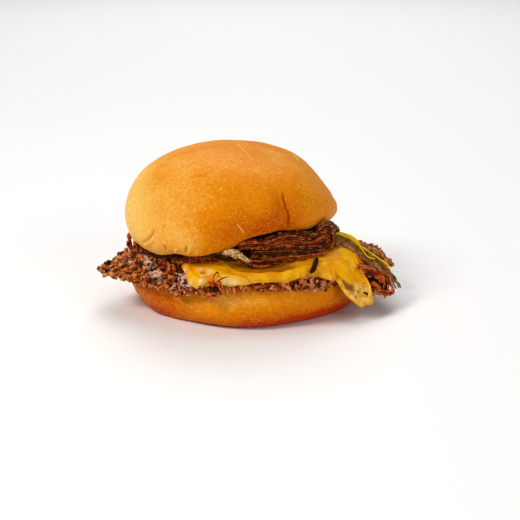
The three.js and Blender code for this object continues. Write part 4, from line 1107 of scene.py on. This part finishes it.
class Socket:
    """A node's output in a material. Arithmetic on it adds Math nodes."""

    def __init__(self, tree, output):
        self.tree = tree
        self.output = output

    def node(self, kind, settings=None, inputs=None, output=0):
        """Adds a node of that type: its settings first, then the values or links of its inputs."""
        made = self.tree.nodes.new(kind)
        for name, value in (settings or {}).items():
            if name == "stops":
                ramp = made.color_ramp
                for _ in value[2:]:
                    ramp.elements.new(0.5)
                for element, (position, colour) in zip(ramp.elements, value):
                    element.position, element.color = position, (*colour, 1)
            else:
                setattr(made, name, value)
        for name, value in (inputs or {}).items():
            if isinstance(value, Socket):
                self.tree.links.new(value.output, made.inputs[name])
            else:
                made.inputs[name].default_value = value
        return Socket(self.tree, made.outputs[output])

    def math(self, operation, *values):
        """This number and others through one Math node."""
        return self.node("ShaderNodeMath", {"operation": operation}, dict(enumerate((self, *values))))

    def __add__(self, other):
        return self.math("ADD", other)

    def __mul__(self, other):
        return self.math("MULTIPLY", other)

    def __sub__(self, other):
        return self.math("SUBTRACT", other)

    def __rsub__(self, other):
        return self * -1 + other

    __radd__ = __add__
    __rmul__ = __mul__

    def attribute(self, name):
        """A value that the mesh holds for each of its points."""
        return self.node("ShaderNodeAttribute", {"attribute_name": name}, output="Fac")

    def clouds(self, size, detail):
        """Noise from 0 to 1 on this position, with features of about size millimetres."""
        inputs = {"Vector": self, "Scale": 1 / (size * MM), "Detail": detail}
        return self.node("ShaderNodeTexNoise", None, inputs)

    def cells(self, size, output="Distance"):
        """Cells of about size millimetres: the distance to their middles, or a draw for each."""
        return self.node("ShaderNodeTexVoronoi", None, {"Vector": self, "Scale": 1 / (size * MM)}, output)

    def channel(self, name):
        """The red, green or blue of this colour."""
        return self.node("ShaderNodeSeparateColor", None, {"Color": self}, name)

    def between(self, low, high):
        """A share that rises smoothly from 0 at low to 1 at high."""
        inputs = {"Value": self, "From Min": low, "From Max": high}
        return self.node("ShaderNodeMapRange", {"interpolation_type": "SMOOTHSTEP"}, inputs)

    def ramp(self, *stops):
        """A colour from this number, blended between stops of a position and a colour each."""
        return self.node("ShaderNodeValToRGB", {"stops": stops}, {"Fac": self})

    def mix(self, factor, other):
        """This colour with another over it by a factor."""
        other = other if isinstance(other, Socket) else (*other, 1)
        inputs = {MIX_FACTOR: factor, MIX_UNDER: self, MIX_OVER: other}
        return self.node("ShaderNodeMix", {"data_type": "RGBA"}, inputs, MIX_RESULT)

    def bump(self, distance, strength):
        """Normals bent by this height, with a distance in millimetres."""
        inputs = {"Height": self, "Distance": distance * MM, "Strength": strength}
        return self.node("ShaderNodeBump", None, inputs)


def new_material(name):
    """A material with an empty tree: gives its object position, and a function that finishes it."""
    material = bpy.data.materials.new(name)
    material.use_nodes = True
    tree = material.node_tree
    tree.nodes.clear()
    where = Socket(tree, tree.nodes.new("ShaderNodeTexCoord").outputs["Object"])

    def finish(**inputs):
        """Adds the surface with those inputs and the output, and gives the material."""
        named = {key.replace("_", " "): value for key, value in inputs.items()}
        surface = where.node("ShaderNodeBsdfPrincipled", None, named)
        end = tree.nodes.new("ShaderNodeOutputMaterial")
        tree.links.new(surface.output, end.inputs["Surface"])
        return material

    return where, finish


def bread_material(c):
    """Baked crust: pale to brown by how far it baked, a share that also carries painted light and shade, with
    soft blotches, pale specks and pores, painted shade in the creases and painted highlights along raised
    lines, and a creamy open crumb on the cut faces and where the skin is torn."""
    where, finish = new_material("bread")
    blotch, mottle = where.clouds(16, 3), where.clouds(1.5, 3)
    drawn = where.cells(1.4, "Color").channel("Red")
    speck = where.cells(1.4).between(0.22, 0.1) * drawn.between(0.2, 0.5)
    speck = speck * where.clouds(14, 1).between(0.28, 0.48)
    pore = where.clouds(0.8, 1).between(0.32, 0.25)
    # The baked share carries painted light and shade: its pale end paints light, its brown and red ends paint
    # shade.
    bake = where.attribute("bake") + (blotch - 0.5) * 0.38 + (mottle - 0.5) * 0.55
    colour = bake.ramp((0.0, c.bread_pale), (0.5, c.bread), (0.85, c.bread_brown), (1.0, c.bread_red_and_shade))
    colour = colour.mix(speck * 0.85, c.bread_pale)
    colour = colour.mix(pore * 0.3, c.bread_brown)
    # Painted shade in the grooves, and painted highlights along the lines whose darkness is below 0.
    mark = where.attribute("mark")
    colour = colour.mix(mark.between(0.02, 0.9), c.crease)
    colour = colour.mix((mark * -1).between(0.02, 0.7) * 0.7, c.bread_pale)
    hollow = where.cells(1.5).between(0.55, 0.15)
    torn = where.attribute("torn") * where.clouds(1.3, 3).between(0.36, 0.6) * 1.4
    opened = (where.attribute("cut") + torn).between(0.2, 0.9)
    crumb = where.clouds(3, 2).ramp((0.35, c.crumb), (0.65, c.bread_pale))
    crumb = crumb.mix(hollow * 0.35, c.crumb_shade)
    colour = colour.mix(opened, crumb)
    height = mottle * 0.6 + speck * 0.4 - pore * 0.5 - hollow * opened
    return finish(Base_Color=colour, Roughness=opened * 0.2 + mottle * 0.16 + 0.44,
                  Normal=height.bump(0.3, 0.9), Specular_IOR_Level=0.1, Specular_Tint=(1.0, 0.6, 0.2, 1.0),
                  Subsurface_Weight=0.1, Subsurface_Radius=(1.0, 0.4, 0.1), Subsurface_Scale=0.003)


def beef_material(c):
    """Seared crust: near black in its hollows, mahogany on its grains and light on the highest, which paints
    shade in the hollows and highlights on the grains over the crust's own browns, with redder, pale, amber
    and pinker grains by a draw for each, painted glints in a few places, a wet gloss that breaks up, and fine
    grit."""
    where, finish = new_material("seared_beef")
    grain = where.cells(1.3, "Color")
    each, other = grain.channel("Red"), grain.channel("Green")
    relief = where.attribute("relief") + (where.clouds(1.4, 3) - 0.5) * 1.6
    # Painted shade in the hollows and painted highlights on the raised grains, over the crust's own browns.
    colour = relief.ramp((0.2, c.beef_dark_and_shade), (0.5, c.beef), (0.85, c.beef_light_and_highlight))
    colour = colour.mix(each.between(0.4, 0.8) * relief.between(0, 0.4) * 0.65, c.beef_red)
    fried = relief.ramp((0.18, c.beef_dark_and_shade), (0.5, c.beef_amber), (1.0, c.beef_gold))
    colour = colour.mix(where.attribute("amber") * (other * 0.5 + 0.5), fried)
    tips = other.between(0.72, 0.86) * relief.between(0.45, 0.8)
    colour = colour.mix(tips * 0.8, c.beef_tip)
    # Painted glints at the listed places.
    pale = where.attribute("pale") * where.clouds(1.1, 2).between(0.4, 0.52) * relief.between(0.0, 0.35)
    colour = colour.mix(pale, c.beef_painted_glint)
    pink = where.attribute("pink") * where.clouds(2.5, 2).between(0.42, 0.54)
    colour = colour.mix(pink * relief.between(0.1, 0.7) * 0.85, c.beef_pink)
    grit = where.clouds(0.5, 2)
    height = grit * 0.7 + where.cells(0.9) * -0.9
    return finish(Base_Color=colour, Roughness=0.58 - where.clouds(2.5, 2).between(0.42, 0.54) * 0.42,
                  Normal=height.bump(0.45, 1.0), Specular_IOR_Level=0.42, Specular_Tint=(1.0, 0.5, 0.14, 1.0))


def cheese_material(c):
    """Melted cheese: smooth saturated yellow, with painted shade where it is tucked and a painted shadow
    under the fold above the blistered corner, creamy where it is fried, which also paints its glints, ochre
    and pitted brown where it blistered."""
    where, finish = new_material("melted_cheese")
    soft = where.clouds(9, 2)
    colour = soft.ramp((0.38, c.cheese_deep), (0.62, c.cheese))
    # Painted shade where the slice is tucked and in its folds.
    colour = colour.mix(where.attribute("deep") * 0.85, c.cheese_in_shade)
    blister = where.attribute("blister")
    flecks = where.clouds(1.5, 2).between(0.42, 0.56)
    colour = colour.mix(blister * 0.9, c.cheese_ochre)
    colour = colour.mix(flecks * blister * 0.7, c.cheese_cream)
    spots = where.cells(1.9).between(0.36, 0.2) * blister * where.clouds(2.6, 1).between(0.46, 0.58)
    colour = colour.mix(spots * 0.9, c.cheese_brown)
    # Brown at the bottoms of the blisters, and the painted shadow under the fold.
    colour = colour.mix(where.attribute("pit") * 0.92, c.cheese_brown)
    # Creamy where the slice fried, which also paints its glints.
    fried = where.attribute("fried") * (where.clouds(0.9, 2).between(0.34, 0.6) * 0.7 + 0.3)
    colour = colour.mix(fried, c.cheese_fried_and_glint)
    height = where.clouds(2.4, 2) * 0.4 + fried * where.clouds(0.7, 2) * 1.5 - spots
    return finish(Base_Color=colour, Roughness=0.3 + soft * 0.1 + blister * 0.12,
                  Normal=height.bump(0.3, 0.6), Specular_IOR_Level=0.25, Specular_Tint=(1.0, 0.85, 0.45, 1.0),
                  Subsurface_Weight=0.15, Subsurface_Radius=(1.0, 0.45, 0.05), Subsurface_Scale=0.003)


def onion_material(name, deep, body, light, rim, glint):
    """Fried onion: from deep to light by its tone, with a lighter broken rim that paints a highlight along
    each strand, small painted glints and a sticky gloss."""
    where, finish = new_material(name)
    tone = where.attribute("tone") + (where.clouds(3.4, 3) - 0.5) * 1.4 + (where.clouds(0.9, 2) - 0.5) * 0.6
    colour = tone.ramp((0.22, deep), (0.8, body), (1.35, light))
    # A painted highlight along the strands' rims.
    edge = where.attribute("rim").between(0.5, 1.0) * where.clouds(2.6, 2).between(0.5, 0.6)
    colour = colour.mix(edge * 0.85, rim)
    # Small painted glints on the lighter strands.
    moist = where.clouds(0.75, 2).between(0.6, 0.66) * tone.between(0.35, 0.9)
    colour = colour.mix(moist * 0.6, glint)
    wrinkle = where.clouds(0.9, 3)
    return finish(Base_Color=colour, Roughness=0.12 + wrinkle * 0.36, Normal=wrinkle.bump(0.45, 0.9),
                  Specular_IOR_Level=0.28, Specular_Tint=(1.0, 0.44, 0.12, 1.0))


def amber_material(name, c):
    """The finish of fried onion in the amber of the crisp shreds."""
    # The rim's painted highlight colour also paints the glints.
    return onion_material(name, c.amber_deep, c.amber, c.amber_light, c.amber_rim_highlight, c.amber_rim_highlight)


def petal_material(c):
    """The dark petal: olive brown and glossy, redder along its near edge, greener at its end, yellow along
    its thin far edge, and with painted glints in a few places."""
    where, finish = new_material("dark_petal")
    streak = where.clouds(2.4, 3)
    colour = streak.ramp((0.38, c.petal), (0.62, c.petal_light))
    near = where.attribute("near") * where.clouds(1.6, 2).between(0.45, 0.58)
    colour = colour.mix(near * 0.85, c.petal_red)
    colour = colour.mix(where.attribute("green") * 0.75, c.petal_green)
    colour = colour.mix(where.attribute("edge").between(0.3, 0.8) * 0.9, c.petal_edge)
    # Painted glints.
    moist = where.attribute("glint") * where.clouds(1.2, 2).between(0.47, 0.56)
    colour = colour.mix(moist * 0.65, c.petal_painted_glint)
    fine = where.clouds(1.1, 3)
    return finish(Base_Color=colour, Roughness=0.1 + fine * 0.24, Normal=fine.bump(0.4, 0.7),
                  Specular_IOR_Level=0.4, Specular_Tint=(1.0, 0.8, 0.5, 1.0))


def pale_material(c):
    """Pale fried end: tan, freckled brown, with a sugary grain."""
    where, finish = new_material("pale_onion")
    freckle = where.clouds(1.0, 2).between(0.5, 0.6)
    colour = where.clouds(1.4, 2).ramp((0.38, c.pale_tan), (0.58, c.pale_cream))
    colour = colour.mix(freckle * 0.8, c.pale_brown)
    grain = where.cells(0.8)
    return finish(Base_Color=colour, Roughness=0.35 + freckle * 0.2, Normal=grain.bump(0.4, 0.9),
                  Specular_IOR_Level=0.4, Specular_Tint=(1.0, 0.8, 0.5, 1.0))


def srgb(red, green, blue):
    """A colour on a screen's scale of 0 to 255 as linear light."""
    share = np.array([red, green, blue]) / 255
    return tuple(float(v) for v in np.where(share < 0.04045, share / 12.92, ((share + 0.055) / 1.055) ** 2.4))


def colour_property(name, description, *value):
    """A colour that the user can change, given on a screen's scale."""
    return FloatVectorProperty(name=name, description=description, subtype="COLOR", size=3, min=0, max=1,
                               default=srgb(*value))


class BurgerColours(PropertyGroup):
    bread: colour_property("Bread", "Baked crust", 232, 140, 12)
    bread_pale: colour_property("Pale bread", "Crust that baked least", 255, 204, 100)
    bread_brown: colour_property("Brown bread", "Crust that baked most", 206, 100, 0)
    # Reached where the baked share is highest, near the foot: browner crust with painted shade and painted
    # reflected red light.
    bread_red_and_shade: colour_property("Red bread", "Crust near the foot of the roll", 184, 52, 0)
    # Painted shade at the bottom of the creases.
    crease: colour_property("Crease", "Bottom of a crease in the crust", 186, 76, 8)
    crumb: colour_property("Crumb", "Soft cut face of the bread", 246, 226, 170)
    crumb_shade: colour_property("Crumb shade", "Hollows of the cut face", 214, 168, 92)
    beef: colour_property("Beef", "Seared crust", 172, 70, 20)
    # Dark char with painted shade in the hollows; the light colour below also paints highlights on the raised
    # grains.
    beef_dark_and_shade: colour_property("Dark beef", "Hollows of the crust", 52, 9, 0)
    beef_light_and_highlight: colour_property("Light beef", "Raised grains of the crust", 232, 136, 66)
    beef_red: colour_property("Red beef", "Redder grains", 160, 42, 10)
    beef_amber: colour_property("Amber beef", "Orange brown crust at the right", 186, 100, 20)
    beef_gold: colour_property("Golden beef", "Crisp tips at the right", 226, 160, 72)
    beef_tip: colour_property("Pale beef", "Palest tips of the crust", 240, 186, 108)
    # Painted glints of the crust.
    beef_painted_glint: colour_property("Moist beef", "Pale moist places of the crust", 248, 224, 198)
    beef_pink: colour_property("Pink beef", "Cut edge of the meat", 216, 124, 76)
    cheese: colour_property("Cheese", "Melted slice", 248, 181, 0)
    cheese_deep: colour_property("Deep cheese", "Thicker parts of the slice", 226, 144, 0)
    # The fried rim's colour, also used for painted glints.
    cheese_fried_and_glint: colour_property("Pale cheese", "Fried rim of the slice", 255, 238, 176)
    cheese_cream: colour_property("Cream cheese", "Flecks of the blistered corner", 250, 208, 112)
    cheese_in_shade: colour_property("Tucked cheese", "Folds and edges of the slice in shade", 156, 74, 0)
    cheese_ochre: colour_property("Ochre cheese", "Blistered corner", 234, 166, 58)
    # Also paints the shadow under the fold above the blistered corner.
    cheese_brown: colour_property("Brown cheese", "Bottom of a blister", 118, 50, 0)
    onion: colour_property("Onion", "Fried strands", 94, 20, 2)
    onion_deep: colour_property("Deep onion", "Darkest strands", 26, 3, 0)
    onion_light: colour_property("Light onion", "Lightest strands", 168, 56, 4)
    # Painted highlights along the strands' rims.
    onion_rim_highlight: colour_property("Onion rim", "Lighter rims of the strands", 206, 120, 50)
    # Painted glints on the strands.
    onion_painted_glint: colour_property("Moist onion", "Small pale moist places on the strands", 238, 184, 122)
    petal: colour_property("Petal", "Dark wide onion petal", 96, 50, 2)
    petal_light: colour_property("Light petal", "Lighter parts of the petal", 150, 88, 12)
    petal_red: colour_property("Red petal", "Near edge of the petal", 176, 84, 48)
    # Painted glints on the petal.
    petal_painted_glint: colour_property("Petal glint", "Moist places on the petal", 204, 184, 160)
    petal_green: colour_property("Green petal", "End of the petal", 126, 98, 18)
    petal_edge: colour_property("Petal edge", "Thin pale edge of the petal", 254, 220, 20)
    amber: colour_property("Amber", "Crisp shreds", 154, 40, 4)
    amber_deep: colour_property("Deep amber", "Darkest of the shreds", 66, 10, 1)
    amber_light: colour_property("Light amber", "Lightest of the shreds", 214, 98, 22)
    # Painted highlights along the shreds' rims.
    amber_rim_highlight: colour_property("Amber rim", "Lighter rims of the shreds", 232, 158, 88)
    pale_tan: colour_property("Tan onion", "Pale fried end", 196, 138, 70)
    pale_cream: colour_property("Cream onion", "Lightest of the pale end", 240, 206, 140)
    pale_brown: colour_property("Brown freckles", "Freckles of the pale end", 116, 58, 20)
    floor: colour_property("Floor", "Table under the burger", 254, 254, 254)


def share_property(name, description, least=0.5):
    """A share of a usual measure that the user can change, 1 as it comes."""
    return FloatProperty(name=name, description=f"{description}, as a share of the usual", subtype="FACTOR",
                         default=1.0, min=least, max=1.5)


class BurgerSizes(PropertyGroup):
    relief: share_property("Crust relief", "Height of the patty's grains", 0.2)
    crumbs: IntProperty(name="Crumbs", description="Number of loose crumbs on the patty", default=4200,
                        min=100, max=5000)
    slice: FloatProperty(name="Slice thickness", description="Thickness of the cheese slice, in millimetres",
                         default=CHEESE_THICKNESS, min=1.0, max=3.5)
    ribbon_width: share_property("Ribbon width", "Width of the onion ribbons")
    ribbon_thickness: share_property("Ribbon thickness", "Thickness of the onion ribbons")
    loose_strands: IntProperty(name="Loose strands", description="Number of strands round the heap",
                               default=34, min=4, max=60)
    shred_width: share_property("Shred width", "Width of the crisp shreds")


class BURGER_OT_bread(Operator):
    """Adds both halves of the roll"""

    bl_idname = "burger.bread"
    bl_label = "Roll"

    def execute(self, context):
        bread = bread_material(context.scene.burger_colours)
        add_piece("roll_heel", heel_shape(), bread, "bread", "bun_heel")
        add_piece("roll_crown", crown_shape(), bread, "bread", "bun_crown")
        return {"FINISHED"}


class BURGER_OT_beef(Operator):
    """Adds the patty and its crumbs"""

    bl_idname = "burger.beef"
    bl_label = "Patty"

    def execute(self, context):
        sizes = context.scene.burger_sizes
        beef = beef_material(context.scene.burger_colours)
        add_piece("seared_patty", patty_shape(sizes.relief), beef, "beef", "patty")
        add_piece("patty_crumbs", crumbs_shape(sizes.relief, sizes.crumbs), beef, "beef", "patty")
        return {"FINISHED"}


class BURGER_OT_cheese(Operator):
    """Adds the melted slice"""

    bl_idname = "burger.cheese"
    bl_label = "Cheese slice"

    def execute(self, context):
        melted = cheese_material(context.scene.burger_colours)
        add_piece("melted_slice", cheese_shape(context.scene.burger_sizes.slice), melted, "cheese", "cheese")
        return {"FINISHED"}


class BURGER_OT_onions(Operator):
    """Adds the heap of fried onions and the rings at the left end"""

    bl_idname = "burger.onions"
    bl_label = "Fried onions"

    def execute(self, context):
        sizes, c = context.scene.burger_sizes, context.scene.burger_colours
        fried = onion_material("fried_onion", c.onion_deep, c.onion, c.onion_light, c.onion_rim_highlight,
                               c.onion_painted_glint)
        add_piece("onion_core", core_shape(), fried, "fried_onion", "onions")
        strands = strands_shape(sizes.ribbon_width, sizes.ribbon_thickness, sizes.loose_strands)
        add_piece("onion_strands", strands, fried, "fried_onion", "onions")
        add_piece("onion_pale_end", pale_end_shape(), pale_material(c), "fried_onion", "onions")
        add_piece("onion_rings", rings_shape(), amber_material("crisp_ring", c), "fried_onion", "onion_loop")
        return {"FINISHED"}


class BURGER_OT_crisps(Operator):
    """Adds the wide petal, the crisp shreds and the curled threads"""

    bl_idname = "burger.crisps"
    bl_label = "Petal and shreds"

    def execute(self, context):
        c = context.scene.burger_colours
        amber = amber_material("amber_onion", c)
        film = onion_material("petal_film", c.cheese_ochre, *[c.petal_edge] * 4)
        dark = petal_material(c)
        add_piece("dark_petal", petal_shape(), dark, "dark_onion", "onion_petal")
        add_piece("petal_ends", petal_ends(), dark, "dark_onion", "onion_petal")
        add_piece("petal_films", films_shape(), film, "dark_onion", "onion_petal")
        fringe = fringe_shape(context.scene.burger_sizes.shred_width)
        add_piece("crisp_fringe", fringe, amber, "amber_onion", "onion_fringe")
        add_piece("curled_threads", threads_shape(), amber, "amber_onion", "crisp_threads")
        add_piece("thread_knot", knot_shape(), amber, "amber_onion", "crisp_threads")
        return {"FINISHED"}


def area_light(name, place, aim, size, power, colour):
    """A round soft lamp at a place, turned to face its aim."""
    data = bpy.data.lights.new(name, "AREA")
    data.shape, data.size, data.energy, data.color = "DISK", size, power, colour
    lamp = bpy.data.objects.new(name, data)
    lamp.location = place
    lamp.rotation_euler = (Vector(aim) - Vector(place)).to_track_quat("-Z", "Y").to_euler()
    bpy.context.scene.collection.objects.link(lamp)


class BURGER_OT_stage(Operator):
    """Adds the pale floor, the soft lights and the camera"""

    bl_idname = "burger.stage"
    bl_label = "Stage"

    def execute(self, context):
        scene = context.scene
        _, finish = new_material("pale_floor")
        floor_colour = (*scene.burger_colours.floor, 1)
        mesh = bpy.data.meshes.new("floor")
        corners = [(-FLOOR_HALF, -FLOOR_HALF, 0), (FLOOR_HALF, -FLOOR_HALF, 0), (FLOOR_HALF, FLOOR_HALF, 0),
                   (-FLOOR_HALF, FLOOR_HALF, 0)]
        mesh.from_pydata(corners, [], [(0, 1, 2, 3)])
        mesh.materials.append(finish(Base_Color=floor_colour, Roughness=0.7))
        floor = bpy.data.objects.new("floor", mesh)
        scene.collection.objects.link(floor)
        floor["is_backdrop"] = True
        for lamp in LAMPS:
            area_light(*lamp)
        world = bpy.data.worlds.new("studio")
        world.use_nodes = True
        sky = world.node_tree.nodes["Background"]
        sky.inputs["Color"].default_value = (1, 1, 1, 1)
        sky.inputs["Strength"].default_value = SKY_STRENGTH
        scene.world = world
        scene.view_settings.view_transform = "Standard"
        camera = bpy.data.objects.new("camera", bpy.data.cameras.new("camera"))
        camera.data.sensor_width, camera.data.lens = CAMERA_SENSOR, CAMERA_LENS
        camera.location = CAMERA_PLACE
        camera.rotation_euler = (np.radians(CAMERA_PITCH), 0, 0)
        scene.collection.objects.link(camera)
        scene.camera = camera
        return {"FINISHED"}


STEPS = (
    BURGER_OT_stage, BURGER_OT_bread, BURGER_OT_beef, BURGER_OT_cheese, BURGER_OT_onions, BURGER_OT_crisps,
)


class BURGER_PT_panel(Panel):
    """Lists the burger's pieces, sizes and colours"""

    bl_idname = "BURGER_PT_panel"
    bl_label = "Onion burger"
    bl_space_type = "VIEW_3D"
    bl_region_type = "UI"
    bl_category = "Burger"

    def draw(self, context):
        column = self.layout.column()
        for step in STEPS:
            column.operator(step.bl_idname)
        for group in (context.scene.burger_sizes, context.scene.burger_colours):
            for name in group.__annotations__:
                column.prop(group, name)


CLASSES = (BurgerColours, BurgerSizes, *STEPS, BURGER_PT_panel)


def register():
    """Registers the classes and gives the scene its two groups of values."""
    for each in CLASSES:
        bpy.utils.register_class(each)
    bpy.types.Scene.burger_colours = PointerProperty(type=BurgerColours)
    bpy.types.Scene.burger_sizes = PointerProperty(type=BurgerSizes)


def unregister():
    """Undoes what register did, in the other order."""
    del bpy.types.Scene.burger_sizes
    del bpy.types.Scene.burger_colours
    for each in reversed(CLASSES):
        bpy.utils.unregister_class(each)


def main():
    """Registers the add-on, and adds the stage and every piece."""
    register()
    for step in STEPS:
        group, name = step.bl_idname.split(".")
        getattr(getattr(bpy.ops, group), name)()
    boxes = {"solids": solid_box, "visual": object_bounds()}
    {key: [list(corner) for corner in box] for key, box in boxes.items()}


if __name__ == "__main__":
    main()
